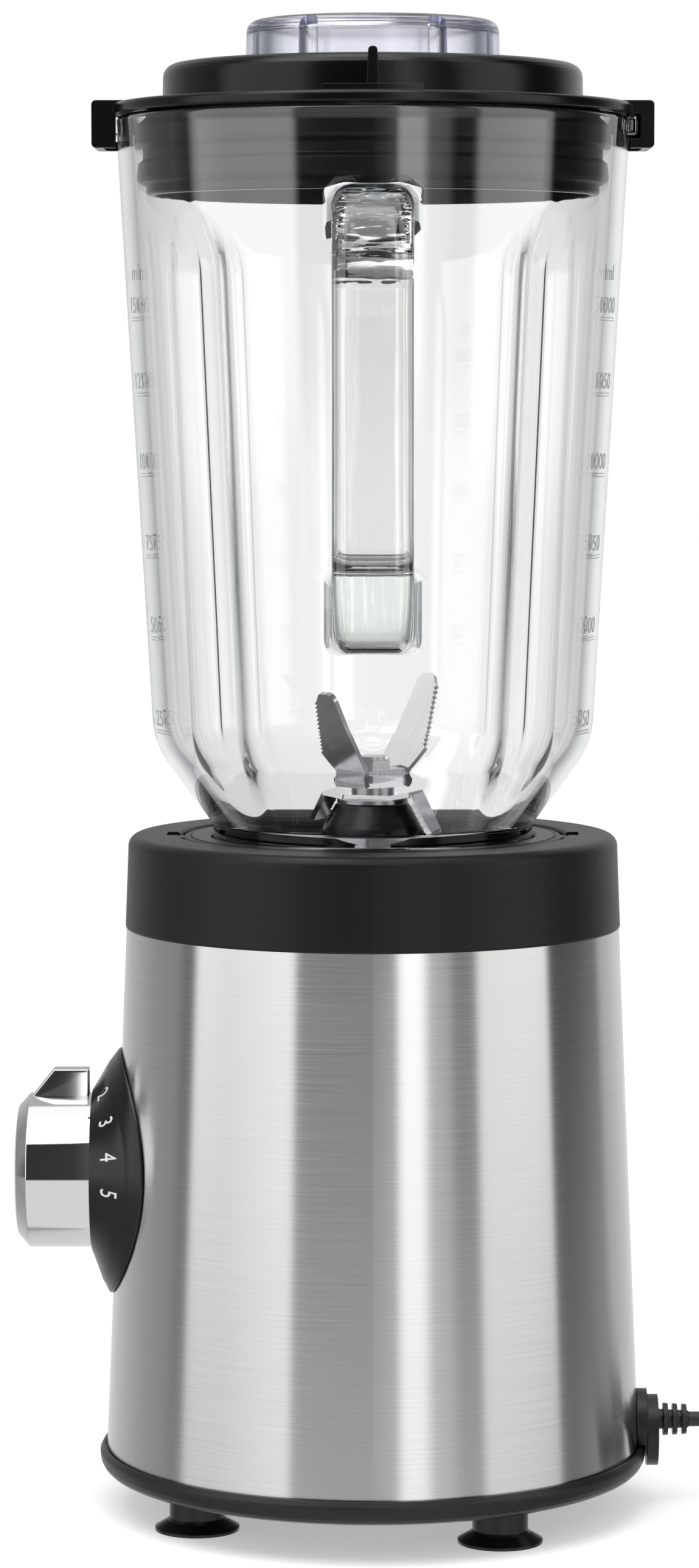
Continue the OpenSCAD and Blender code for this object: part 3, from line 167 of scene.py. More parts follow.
def for_rays(kind, light, others):
    """One light for rays of that kind, and another for the others."""
    return add(sky, "ShaderNodeMixShader", {0: light_path.outputs[kind], 1: others, 2: light}).outputs[0]


# Matt surfaces get a soft even light, and metal a stronger picture of the panels
MIRROR_LIGHT, SOFT_LIGHT = 1.3, 0.7
seen = room_light(WHITE, 1.0)
mirror = room_light(mirrored, MIRROR_LIGHT)
through = room_light(behind, 1.0)
soft = room_light(WHITE, SOFT_LIGHT)
light = for_rays("Is Glossy Ray", mirror, soft)
light = for_rays("Is Transmission Ray", through, light)
light = for_rays("Is Camera Ray", seen, light)
add(sky, "ShaderNodeOutputWorld", {"Surface": light})

LAMP_WIDTH, LAMP_WATTS = 1.6, 16
LAMP_PLACE, LAMP_TARGET = (0.5, -0.3, 1.7), (0, 0, 0.2)
lamp = bpy.data.objects.new("overhead_lamp", bpy.data.lights.new("overhead_lamp", "AREA"))
scene.collection.objects.link(lamp)
lamp.data.shape = "DISK"
lamp.data.size = LAMP_WIDTH
lamp.data.energy = LAMP_WATTS
lamp.location = LAMP_PLACE
lamp.rotation_euler = (Vector(LAMP_TARGET) - lamp.location).to_track_quat("-Z", "Y").to_euler()


def mesh_object(name, verts, faces, sharp=35):
    """A smooth-shaded mesh whose edges over `sharp` degrees stay crisp."""
    mesh = bpy.data.meshes.new(name)
    mesh.from_pydata([tuple(v) for v in verts], [], faces)
    mesh.validate()
    mesh.polygons.foreach_set("use_smooth", [True] * len(mesh.polygons))
    mesh.set_sharp_from_angle(angle=math.radians(sharp))
    made = bpy.data.objects.new(name, mesh)
    scene.collection.objects.link(made)
    return made


def principled(material):
    return material.node_tree.nodes["Principled BSDF"]


def new_material(name, **sockets):
    """A material with fixed values on its Principled shader's own sockets."""
    made = bpy.data.materials.new(name)
    made.use_nodes = True
    for key, value in sockets.items():
        socket = principled(made).inputs[key.replace("_", " ")]
        socket.default_value = (*value, 1) if isinstance(value, tuple) and len(value) == 3 else value
    return made


FLOOR_HALF, FLOOR_GLOW = 8, 0.4
floor_corners = [(x * FLOOR_HALF, y * FLOOR_HALF, 0) for x, y in ((-1, -1), (1, -1), (1, 1), (-1, 1))]
floor = mesh_object("floor", floor_corners, [(0, 1, 2, 3)])
floor_paint = new_material("floor_paint", Base_Color=(0.9, 0.9, 0.9), Roughness=0.9, Emission_Color=WHITE)
paint_tree = floor_paint.node_tree
path = add(paint_tree, "ShaderNodeLightPath").outputs
shown = maths(paint_tree, "MAXIMUM", path["Is Camera Ray"],
              maths(paint_tree, "MAXIMUM", path["Is Glossy Ray"], path["Is Transmission Ray"]))
paint_tree.links.new(maths(paint_tree, "MULTIPLY", shown, FLOOR_GLOW),
                     principled(floor_paint).inputs["Emission Strength"])
floor.data.materials.append(floor_paint)
floor.visible_glossy = False
floor.visible_transmission = False


# ---- Mains cord ----
# A black two-core cord with a smooth rubber jacket leaves the strain relief, drops to the floor
# and lies in a neat coil. It ends in a flat two-pin plug that is moulded onto it.

# The cord's diameter in metres and in millimetres, and the coil's middle and mean radius
CORD = 0.0042
MM = 0.001
CORD_THICK = CORD / MM
COIL_X, COIL_Y, COIL_RADIUS = -27.3, 150, 23.1
# In turns of the coil: how many there are, where it climbs onto itself and where it narrows
COIL_TURNS, TURNS_IN, PER_TURN = 6.25, 3, 24
CLIMB_FROM, CLIMB_OVER = 2.75, 0.5
NARROW_FROM, NARROW_OVER = 0.15, 2.6

# Points in millimetres: out of the strain relief, down to the floor and on to the coil
cord_points = [(0, 89.4, 23.9), (0, 93, 23.9), (0, 97, 23.6), (0, 100.6, 22.3), (0, 104, 20.4),
               (0, 107, 18), (0, 110, 15.2), (0, 113, 12.2), (0, 116, 9.4), (0, 119, 6.9), (0, 122, 5),
               (0, 125.4, 3.5), (0, 129, 2.6), (0, 133, 2.25), (0, 137, 2.1), (0, 141, 2.1), (0, 145, 2.1)]
# Three turns inwards on the floor, then three outwards on top of them and a quarter to the end
for step in range(int(COIL_TURNS * PER_TURN) + 1):
    turns = step / PER_TURN
    layer = min(max((turns - CLIMB_FROM) / CLIMB_OVER, 0), 1)
    inward = turns
    if turns >= TURNS_IN:
        inward = TURNS_IN - (turns - TURNS_IN) * TURNS_IN / (COIL_TURNS - TURNS_IN)
    narrowed = min(max(inward - NARROW_FROM, 0), NARROW_OVER) / (NARROW_OVER / 2)
    radius = COIL_RADIUS + CORD_THICK * (1 - narrowed)
    angle = 2 * math.pi * turns
    cord_points.append((COIL_X + radius * math.cos(angle), COIL_Y + radius * math.sin(angle),
                        CORD_THICK / 2 + CORD_THICK * layer))
# From the coil into the plug
cord_points += [(-31, 177.3, 6.3), (-34, 177.3, 6.4), (-38, 177.3, 6.5), (-42, 177.3, 6.7),
                (-46, 177.3, 6.85), (-50.2, 177.3, 6.9)]


def bent_tube(name, points, diameter):
    """A round curve object through points in millimetres, its diameter in metres."""
    curve = bpy.data.curves.new(name, "CURVE")
    curve.dimensions = "3D"
    # With a bevel of 1, the radius of each point is the tube's own
    curve.bevel_depth = 1
    curve.bevel_resolution = 5
    curve.use_fill_caps = True
    spline = curve.splines.new("POLY")
    spline.points.add(len(points) - 1)
    for target, point in zip(spline.points, points):
        target.co = (*[c * MM for c in point], 1)
        target.radius = diameter / 2
    made = bpy.data.objects.new(name, curve)
    scene.collection.objects.link(made)
    return made


cord = bent_tube("mains_cord", cord_points, CORD)
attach(cord, "base")
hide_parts("cord", "cord_coil", "cord_tail")

NUMBER, COLOUR, VECTOR = "NodeSocketFloat", "NodeSocketColor", "NodeSocketVector"


def group(name, inputs, outputs):
    """An empty node group with named sockets: its tree, and what it is given and gives."""
    made = bpy.data.node_groups.new(name, "ShaderNodeTree")
    for label, kind in inputs.items():
        made.interface.new_socket(label, in_out="INPUT", socket_type=kind)
    for label, kind in outputs.items():
        made.interface.new_socket(label, in_out="OUTPUT", socket_type=kind)
    return made, made.nodes.new("NodeGroupInput").outputs, made.nodes.new("NodeGroupOutput").inputs


def spread(tree, factor, low, high, over=1.0):
    """A factor that runs from 0 to `over`, mapped to a value from low to high."""
    values = {"Value": factor, "From Max": over, "To Min": low, "To Max": high}
    return add(tree, "ShaderNodeMapRange", values).outputs["Result"]


# Moulded plastic and rubber: a fine grain in the surface, and slow changes of tone and gloss
moulded, given, result = group("moulded_surface",
                               {"Color": COLOUR, "Roughness": NUMBER, "Grain Size": NUMBER,
                                "Grain Depth": NUMBER, "Edge Radius": NUMBER},
                               {"Color": COLOUR, "Roughness": NUMBER, "Normal": VECTOR})
spot = add(moulded, "ShaderNodeTexCoord").outputs["Object"]
frequency = maths(moulded, "DIVIDE", 1.0, given["Grain Size"])
grain = add(moulded, "ShaderNodeTexNoise",
            {"Vector": spot, "Scale": frequency, "Detail": 3.0, "Roughness": 0.6}).outputs["Fac"]
cloud = add(moulded, "ShaderNodeTexNoise",
            {"Vector": spot, "Scale": 22.0, "Detail": 4.0, "Roughness": 0.55}).outputs["Fac"]
tone = add(moulded, "ShaderNodeHueSaturation",
           {"Color": given["Color"], "Value": spread(moulded, cloud, 0.85, 1.15)})
gloss = maths(moulded, "ADD", given["Roughness"], spread(moulded, cloud, -0.05, 0.05))
edges = add(moulded, "ShaderNodeBevel", {"Radius": given["Edge Radius"]}, samples=4)
relief = add(moulded, "ShaderNodeBump",
             {"Strength": 1.0, "Distance": given["Grain Depth"], "Height": grain,
              "Normal": edges.outputs["Normal"]})
moulded.links.new(tone.outputs["Color"], result["Color"])
moulded.links.new(gloss, result["Roughness"])
moulded.links.new(relief.outputs["Normal"], result["Normal"])


def skinned(material, surface, values):
    """Gives a material's shader the colour, roughness and normal of a surface group."""
    tree = material.node_tree
    skin = add(tree, "ShaderNodeGroup", values, node_tree=surface)
    for label, target in (("Color", "Base Color"), ("Roughness", "Roughness"), ("Normal", "Normal")):
        tree.links.new(skin.outputs[label], principled(material).inputs[target])
    return material


def moulded_material(name, color, roughness, grain, depth, edge=0.0004, **sockets):
    """Plastic or rubber with a grain of that size and depth, and corners rounded to `edge`."""
    return skinned(new_material(name, **sockets), moulded,
                   {"Color": (*color, 1), "Roughness": roughness, "Grain Size": grain, "Grain Depth": depth,
                    "Edge Radius": edge})


def dress(material, *nodes):
    """Puts a material on CAD nodes or on pieces made here."""
    for item in nodes:
        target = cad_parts[item] if isinstance(item, str) else item
        target.data.materials.clear()
        target.data.materials.append(material)
        if target.type == "MESH":
            target.data.polygons.foreach_set("material_index", [0] * len(target.data.polygons))


jacket = moulded_material("cord_jacket_rubber", (0.018, 0.018, 0.02), roughness=0.42, grain=0.0006,
                          depth=0.00002)
dress(jacket, cord, "inner_cord")
plug_rubber = moulded_material("plug_rubber", (0.02, 0.02, 0.022), roughness=0.4, grain=0.0004,
                               depth=0.00002)
dress(plug_rubber, "plug_body")
dress(new_material("plated_pins", Base_Color=(0.78, 0.76, 0.7), Metallic=1.0, Roughness=0.25), "plug_pins")


# ---- Steel shell ----
# A tapered tube of stainless sheet, brushed round its girth and held between tray and collar.
# The fine lines run level, so what it mirrors stays crisp sideways and is drawn out up and down.

GIRTH_RADIUS = 0.072
# The fine and the broad lines: how often they change in a metre along and across, and their share
FINE_ALONG, FINE_ACROSS, FINE_SHARE = 30.0, 5200.0, 0.75
BROAD_ALONG, BROAD_ACROSS, BROAD_SHARE = 7.0, 1500.0, 0.25

brushed, given, result = group("brushed_lines",
                               {"Along": NUMBER, "Across": NUMBER, "Color": COLOUR, "Roughness": NUMBER,
                                "Depth": NUMBER},
                               {"Color": COLOUR, "Roughness": NUMBER, "Normal": VECTOR})


def scratches(along, across, detail, roughness):
    """Noise drawn out into lines: how bright each is, from 0 to 1."""
    stretched = add(brushed, "ShaderNodeCombineXYZ",
                    {"X": maths(brushed, "MULTIPLY", given["Along"], along),
                     "Y": maths(brushed, "MULTIPLY", given["Across"], across)})
    noise = add(brushed, "ShaderNodeTexNoise",
                {"Vector": stretched.outputs[0], "Scale": 1.0, "Detail": detail, "Roughness": roughness})
    return noise.outputs["Fac"]


fine_lines = scratches(FINE_ALONG, FINE_ACROSS, 4.0, 0.65)
broad_lines = scratches(BROAD_ALONG, BROAD_ACROSS, 3.0, 0.6)
lines = maths(brushed, "ADD", maths(brushed, "MULTIPLY", fine_lines, FINE_SHARE),
              maths(brushed, "MULTIPLY", broad_lines, BROAD_SHARE))
tone = add(brushed, "ShaderNodeHueSaturation",
           {"Color": given["Color"], "Value": spread(brushed, lines, 0.76, 1.24)})
gloss = maths(brushed, "ADD", given["Roughness"], spread(brushed, lines, -0.09, 0.09))
relief = add(brushed, "ShaderNodeBump",
             {"Strength": 0.35, "Distance": given["Depth"], "Height": fine_lines})
brushed.links.new(tone.outputs["Color"], result["Color"])
brushed.links.new(gloss, result["Roughness"])
brushed.links.new(relief.outputs["Normal"], result["Normal"])


def brushed_material(name, color, roughness, depth, round_girth=False, **sockets):
    """Brushed metal, with lines round the upright axis or else upright ones."""
    made = new_material(name, Metallic=1.0, **sockets)
    tree = made.node_tree
    spot = add(tree, "ShaderNodeSeparateXYZ",
               {0: add(tree, "ShaderNodeTexCoord").outputs["Object"]}).outputs
    if round_girth:
        along = maths(tree, "MULTIPLY", maths(tree, "ARCTAN2", spot["Y"], spot["X"]), GIRTH_RADIUS)
        across = spot["Z"]
    else:
        along = spot["Z"]
        across = maths(tree, "ADD", spot["X"], spot["Y"])
    return skinned(made, brushed, {"Along": along, "Across": across, "Color": (*color, 1),
                                   "Roughness": roughness, "Depth": depth})


shell_steel = brushed_material("brushed_shell_steel", (0.6, 0.597, 0.593), roughness=0.2, depth=0.000005,
                               round_girth=True, Anisotropic=0.95, Anisotropic_Rotation=0.25)
tangent = add(shell_steel.node_tree, "ShaderNodeTangent", direction_type="RADIAL", axis="Z")
shell_steel.node_tree.links.new(tangent.outputs[0], principled(shell_steel).inputs["Tangent"])
dress(shell_steel, "steel_shell")


# ---- Housing, tray and feet ----
# The black plastic tray closes the base from below and stands on four rubber suction cups whose
# plugs are pressed through its floor. The housing inside the steel carries the motor.

tray_plastic = moulded_material("tray_plastic", (0.01, 0.01, 0.011), roughness=0.34, grain=0.0005,
                                depth=0.00004, Specular_IOR_Level=0.35)
dress(tray_plastic, "base_tray", "cord_guide", "cord_clamp")
housing_plastic = moulded_material("housing_plastic", (0.05, 0.05, 0.052), roughness=0.5, grain=0.0006,
                                   depth=0.00005)
dress(housing_plastic, "inner_housing", "cooling_fan")
foot_rubber = moulded_material("foot_rubber", (0.008, 0.008, 0.009), roughness=0.3, grain=0.0004,
                               depth=0.00002, Specular_IOR_Level=0.4)
dress(foot_rubber, "foot_front_left", "foot_front_right", "foot_rear_left", "foot_rear_right",
      "strain_relief")


# ---- Collar ----
# The black collar caps the steel and holds the jug's foot ring in its recess. It is moulded with
# a fine spark-eroded grain that turns its shine soft.

collar_plastic = moulded_material("collar_plastic", (0.005, 0.005, 0.0052), roughness=0.38, grain=0.00045,
                                  depth=0.00006, Specular_IOR_Level=0.27)
dress(collar_plastic, "top_collar")


# ---- Motor and inner pieces ----
# The universal motor hangs from the housing's shelf, with varnished copper coils in a stack of
# steel sheets. The board, the switch and all the screws are hidden in the closed base.

ground_steel = brushed_material("ground_steel", (0.6, 0.6, 0.62), roughness=0.3, depth=0.00001)
dress(ground_steel, "motor_shaft", "upper_bearing", "lower_bearing", "knob_spindle", "tray_screws",
      "motor_bolts", "shelf_screws", "blade_shaft", "blade_washers", "blade_nut")
sheets = moulded_material("varnished_sheets", (0.12, 0.13, 0.15), roughness=0.45, grain=0.0008,
                          depth=0.0001, Metallic=0.8)
dress(sheets, "motor_stator", "armature_core")
copper = moulded_material("varnished_copper", (0.55, 0.22, 0.08), roughness=0.3, grain=0.0012,
                          depth=0.0003, Metallic=0.9)
dress(copper, "field_coils", "armature_windings")
aluminium = moulded_material("cast_aluminium", (0.55, 0.55, 0.56), roughness=0.4, grain=0.0006,
                             depth=0.00008, Metallic=1.0)
dress(aluminium, "upper_bracket", "lower_bracket")
brass = moulded_material("turned_brass", (0.6, 0.42, 0.18), roughness=0.3, grain=0.0006, depth=0.00003,
                         Metallic=1.0)
dress(brass, "commutator", "blade_bush")
switch_plastic = moulded_material("switch_plastic", (0.06, 0.045, 0.03), roughness=0.45, grain=0.0006,
                                  depth=0.00005)
dress(switch_plastic, "rotary_switch", "brush_holders")
laminate = moulded_material("board_laminate", (0.03, 0.16, 0.06), roughness=0.35, grain=0.002,
                            depth=0.00005)
dress(laminate, "control_board")
coupling_rubber = moulded_material("coupling_rubber", (0.03, 0.03, 0.033), roughness=0.5, grain=0.0005,
                                   depth=0.00005)
dress(coupling_rubber, "drive_coupling", "driven_dog")


# ---- Dial plate ----
# A black satin cone behind the knob, whose rim follows the curve of the steel. White numbers are
# printed round it for the five speeds.

DIAL_Z = (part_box("knob_spindle")[0].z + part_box("knob_spindle")[1].z) / 2 / MM
DIAL_R, DISH_R, HOLE_R, DIAL_OUT = 34.5, 22.6, 5.4, 7.0
DISH_DEPTH, RIM_PROUD, BACK_GAP, FACE_R = 1.1, 1.5, 0.12, 31.4
DIAL_COLUMNS = 180
SHELL_LOW, SHELL_HIGH = (corner.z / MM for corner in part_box("steel_shell"))
SHELL_R, SHELL_DRAFT = 75.2, 6.1


def shell_y(x, z):
    """Distance of the steel's face from the plane Y = 0."""
    radius = SHELL_R - SHELL_DRAFT * (z - SHELL_LOW) / (SHELL_HIGH - SHELL_LOW)
    return math.sqrt(radius ** 2 - x ** 2)


DIAL_Y = shell_y(0, DIAL_Z) + DIAL_OUT


def steel_behind(r, angle):
    """Depth of the steel behind a point of the dial, by its distance and direction from the middle."""
    return shell_y(r * math.sin(angle), DIAL_Z + r * math.cos(angle))


def dial_face(r, angle):
    """Depth of the cone's face at that distance and in that direction from its middle."""
    rim = steel_behind(DIAL_R, angle) + RIM_PROUD
    return DIAL_Y + (rim - DIAL_Y) * (r - DISH_R) / (DIAL_R - DISH_R)


def dial_section(angle):
    """The dial's closed outline in one direction from its middle, as (distance, depth)."""
    dish = [(HOLE_R, DIAL_Y - DISH_DEPTH), (DISH_R - 0.3, DIAL_Y - DISH_DEPTH), (DISH_R, DIAL_Y - 0.8),
            (DISH_R, DIAL_Y - 0.3), (DISH_R + 0.3, DIAL_Y - 0.08)]
    face = [(r, dial_face(r, angle)) for r in (25.5, 28.5, 30.9)]
    rim = steel_behind(DIAL_R, angle) + 0.9
    edge = dial_face(FACE_R, angle)
    lip = [(31.3, edge - 0.05), (31.7, edge - 0.35), (33.8, rim + (edge - rim) * 0.2), (34.3, rim + 0.05),
           (DIAL_R, rim - 0.4)]
    back = [(r, steel_behind(r, angle) + BACK_GAP) for r in (DIAL_R, 27.0, 20.0, 13.0, HOLE_R)]
    return dish + face + lip + back


def wrapped(columns, n):
    """Faces between columns of n points each, with the last column joined to the first."""
    faces = []
    for c in range(columns):
        d = (c + 1) % columns
        faces += [(c * n + i, c * n + (i + 1) % n, d * n + (i + 1) % n, d * n + i) for i in range(n)]
    return faces


verts = []
for column in range(DIAL_COLUMNS):
    angle = 2 * math.pi * column / DIAL_COLUMNS
    verts += [(r * math.sin(angle) * MM, -y * MM, (DIAL_Z + r * math.cos(angle)) * MM)
              for r, y in dial_section(angle)]
dial = mesh_object("dial_cone", verts, wrapped(DIAL_COLUMNS, len(verts) // DIAL_COLUMNS), sharp=30)
dial_plastic = moulded_material("dial_plastic", (0.004, 0.004, 0.0045), roughness=0.24, grain=0.0004,
                                depth=0.00002, Specular_IOR_Level=0.38)
dress(dial_plastic, dial)
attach(dial, "base")
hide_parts("dial_plate")


def lettering(name, marks, place, thickness=0.05):
    """Raised figures as one mesh. Each mark is (text, height, width share, then what `place` needs).
    `place` puts a point (right, up, out) of a mark, in millimetres, into space."""
    verts, faces = [], []
    for text, tall, width, *where in marks:
        curve = bpy.data.curves.new(name, "FONT")
        curve.body = text
        curve.size = 1
        curve.extrude = 0.5
        curve.resolution_u = 5
        holder = bpy.data.objects.new(name, curve)
        scene.collection.objects.link(holder)
        shape = holder.to_mesh()
        xs, ys = [v.co.x for v in shape.vertices], [v.co.y for v in shape.vertices]
        scale = tall / (max(ys) - min(ys))
        centre = ((max(xs) + min(xs)) / 2, (max(ys) + min(ys)) / 2)
        start = len(verts)
        verts += [place((v.co.x - centre[0]) * scale * width, (v.co.y - centre[1]) * scale,
                        v.co.z * thickness, *where) for v in shape.vertices]
        faces += [tuple(start + i for i in face.vertices) for face in shape.polygons]
        holder.to_mesh_clear()
        bpy.data.objects.remove(holder)
        bpy.data.curves.remove(curve)
    return mesh_object(name, verts, faces, sharp=30)


DIGIT_R, DIGIT_TALL, DIGIT_WIDTH, DIGIT_LIFT = 27.5, 4.0, 0.9, 0.04
FIRST_DIGIT, DIGIT_PITCH = 9.3, 21.4


def on_dial(right, up, out, turned):
    """A point of a digit that stands upright on the cone, turned from its top by so many degrees."""
    angle = math.radians(turned)
    x = DIGIT_R * math.sin(angle) + right * math.cos(angle) + up * math.sin(angle)
    z = DIGIT_R * math.cos(angle) - right * math.sin(angle) + up * math.cos(angle)
    depth = dial_face(math.hypot(x, z), math.atan2(x, z)) + DIGIT_LIFT + out
    return (x * MM, -depth * MM, (DIAL_Z + z) * MM)


speeds = [(str(k + 1), DIGIT_TALL, DIGIT_WIDTH, FIRST_DIGIT + DIGIT_PITCH * k) for k in range(5)]
digits = lettering("dial_digits", speeds, on_dial)
white_ink = moulded_material("white_ink", (0.8, 0.8, 0.8), roughness=0.5, grain=0.0003, depth=0.00001,
                             edge=0)
dress(white_ink, digits)
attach(digits, "base")


# ---- Knob ----
# The knob is chromed plastic with a chamfered face and a raised pointer that stands over its rim.
# It is pushed onto the switch's spindle.

KNOB_BACK = -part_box("knob")[1].y / MM
KNOB_R, KNOB_H, KNOB_CHAMFER, KNOB_WALL = 21.7, 21.7, 3.6, 2.2
BORE_R, SLEEVE_R, SLEEVE_BACK, FACE_THICK = 3.1, 6.6, 1.5, 5
POINTER_ROOT, POINTER_TOP, POINTER_TAPER = 19.8, 28.9, 0.014


def rounded(corners, steps=6):
    """An outline through corners (x, y, radius), with an arc of that radius at each."""
    outline = []
    for i, (x, y, radius) in enumerate(corners):
        if radius == 0:
            outline.append((x, y))
            continue
        b = Vector((x, y))
        u = (Vector(corners[i - 1][:2]) - b).normalized()
        v = (Vector(corners[(i + 1) % len(corners)][:2]) - b).normalized()
        half = u.angle(v) / 2
        middle = b + (u + v).normalized() * (radius / math.sin(half))
        p, q = b + u * (radius / math.tan(half)) - middle, b + v * (radius / math.tan(half)) - middle
        start = math.atan2(p.y, p.x)
        sweep = (math.atan2(q.y, q.x) - start + 3 * math.pi) % (2 * math.pi) - math.pi
        for k in range(steps + 1):
            a = start + sweep * k / steps
            outline.append((middle.x + radius * math.cos(a), middle.y + radius * math.sin(a)))
    return outline


def lathe(name, outline, columns=160, sharp=35):
    """A closed outline of (radius, height) in millimetres, turned about the upright axis."""
    verts, n = [], len(outline)
    for column in range(columns):
        a = 2 * math.pi * column / columns
        verts += [(r * MM * math.cos(a), r * MM * math.sin(a), z * MM) for r, z in outline]
    on_axis = [r < 1e-6 for r, z in outline]
    faces = [face for face in wrapped(columns, n) if not (on_axis[face[0] % n] and on_axis[face[1] % n])]
    return mesh_object(name, verts, faces, sharp)


def ring_loft(name, rings, sharp=40):
    """A closed body through rings of equal length, with its two ends filled."""
    n = len(rings[0])
    verts = [tuple(c * MM for c in point) for ring in rings for point in ring]
    faces = [(j * n + i, j * n + (i + 1) % n, (j + 1) * n + (i + 1) % n, (j + 1) * n + i)
             for j in range(len(rings) - 1) for i in range(n)]
    faces += [tuple(range(n))[::-1], tuple(range((len(rings) - 1) * n, len(rings) * n))]
    return mesh_object(name, verts, faces, sharp)


knob_outline = rounded([(BORE_R, SLEEVE_BACK, 0), (SLEEVE_R, SLEEVE_BACK, 0), (SLEEVE_R, KNOB_H - 3, 0),
                        (KNOB_R - KNOB_WALL, KNOB_H - 5.6, 1), (KNOB_R - KNOB_WALL, 0, 0), (KNOB_R, 0, 0.5),
                        (KNOB_R, KNOB_H - KNOB_CHAMFER, 0.5), (KNOB_R - 3.4, KNOB_H - 0.5, 0.7),
                        (KNOB_R - 6, KNOB_H, 4), (0, KNOB_H, 0), (0, KNOB_H - FACE_THICK, 0),
                        (BORE_R, KNOB_H - FACE_THICK, 0)], steps=8)
turned_knob = lathe("knob_body", knob_outline, columns=200, sharp=28)
turned_knob.data.transform(Matrix.Translation((0, -KNOB_BACK * MM, DIAL_Z * MM))
                           @ Matrix.Rotation(math.radians(90), 4, "X"))

# The pointer is drawn by (depth from the knob's back, height over its axis). Its outline stands
# at six places from one side to the other, and draws in at the outer ones.
rings = []
for x, inset in ((-3.5, 0.5), (-3.36, 0.16), (-3.0, 0.0), (3.0, 0.0), (3.36, 0.16), (3.5, 0.5)):
    side = rounded([(1.4 + inset, POINTER_ROOT, 0), (1.4 + inset, POINTER_TOP - inset, 0.5),
                    (11.4 - inset * 0.6, POINTER_TOP - inset, 0.8), (17.7 - inset, 20.9, 0.5),
                    (17.7 - inset, POINTER_ROOT, 0)], steps=4)
    rings.append([(x * (1 - POINTER_TAPER * (up - POINTER_ROOT)), -(KNOB_BACK + depth), DIAL_Z + up)
                  for depth, up in side])
pointer = ring_loft("knob_pointer", rings, sharp=50)

chrome = new_material("bright_chrome", Base_Color=(0.68, 0.68, 0.69), Metallic=1.0, Roughness=0.03)
chrome_tree = chrome.node_tree
spot = add(chrome_tree, "ShaderNodeTexCoord").outputs["Object"]
polish = add(chrome_tree, "ShaderNodeTexNoise",
             {"Vector": spot, "Scale": 60.0, "Detail": 3.0}).outputs["Fac"]
chrome_tree.links.new(spread(chrome_tree, polish, 0.01, 0.07), principled(chrome).inputs["Roughness"])
dress(chrome, turned_knob)
dress(new_material("satin_chrome", Base_Color=(0.6, 0.6, 0.61), Metallic=1.0, Roughness=0.16), pointer)
for piece in (turned_knob, pointer):
    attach(piece, "knob")
    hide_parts("knob")


# ---- Jug foot and blade base ----
# The foot ring is screwed onto the jug's neck and clamps the blade base against a gasket. A disc
# of steel covers the base round the black hub of the blade bearing.

dress(collar_plastic, "jug_ring")
seal_outline = rounded([(45.3, 186.2, 0), (47.1, 187.0, 0), (51.2, 190.0, 0.4), (50.8, 190.3, 0.2),
                        (46.0, 190.4, 0.8), (45.3, 189.6, 0.3)], steps=4)
seal = lathe("foot_seal", seal_outline)
foot_seal_rubber = moulded_material("foot_seal_rubber", (0.008, 0.008, 0.009), roughness=0.35, grain=0.0005,
                                    depth=0.00003, Specular_IOR_Level=0.4)
dress(foot_seal_rubber, seal)
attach(seal, "jug")
hub_plastic = moulded_material("hub_plastic", (0.005, 0.005, 0.009), roughness=0.24, grain=0.0006,
                               depth=0.00002, Specular_IOR_Level=0.4)
dress(hub_plastic, "blade_base")
gasket_rubber = moulded_material("gasket_rubber", (0.03, 0.03, 0.035), roughness=0.5, grain=0.0006,
                                 depth=0.00002)
dress(gasket_rubber, "jug_gasket")
blade_steel = brushed_material("ground_blade_steel", (0.7, 0.7, 0.72), roughness=0.1, depth=0.000008)
dress(blade_steel, "blade_plate", "upper_blades", "lower_blades")


# ---- Glass jug ----
# Thick pressed glass with four upright flutes, a looped handle and two lugs under the lid's hooks.
# It is cast in one piece with a faint grey-green tint that shows where the glass is deep.

# Radii in millimetres, and heights over the jug's lower end
JUG_LOW, JUG_HIGH = (corner.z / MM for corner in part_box("glass_jug"))
HOLE, NECK, FOOT, WAIST, RIM = 36.5, 44.8, 46.0, 61.2, 71.2
NECK_H, FOOT_H, WAIST_H = 14.2, 15.8, 36.5
WAIST_Z = JUG_LOW + WAIST_H
GLASS = 4.2
SLOPE = (RIM - WAIST) / (JUG_HIGH - WAIST_Z)


def densify(outline, step_at):
    """The outline with points added so that no stretch is longer than step_at(height)."""
    made = [outline[0]]
    for a, b in zip(outline, outline[1:]):
        count = max(1, math.ceil(math.dist(a, b) / step_at((a[1] + b[1]) / 2)))
        made += [(a[0] + (b[0] - a[0]) * k / count, a[1] + (b[1] - a[1]) * k / count)
                 for k in range(1, count + 1)]
    return made


def wall_step(z):
    """How far apart the wall's points stand: closer where the flutes arch and where they taper out."""
    if 344 < z < 364:
        return 0.9
    return 1.2 if z < 230 else 3.5


# Each flute: half its width and its depth outside and inside, and where it arches and tapers out
FLUTE_HALF, FLUTE_DEPTH, RIB_HALF, RIB_DEPTH = 9.6, 2.8, 12.0, 2.5
ARCH_Z, ARCH_H, TAPER_Z, TAPER_H = 346.0, 15.0, 222.0, 20.0
FLUTE_MARGIN = 4


def flute_depth(aside, z, half, depth):
    """How deep a flute presses the wall in at that distance from its line and that height."""
    above = max(z - ARCH_Z, 0) / ARCH_H
    below = max(TAPER_Z - z, 0) / (TAPER_H + half - FLUTE_HALF)
    return depth * max(1 - (aside / half) ** 2 - above ** 2 - below ** 2, 0) ** 1.25


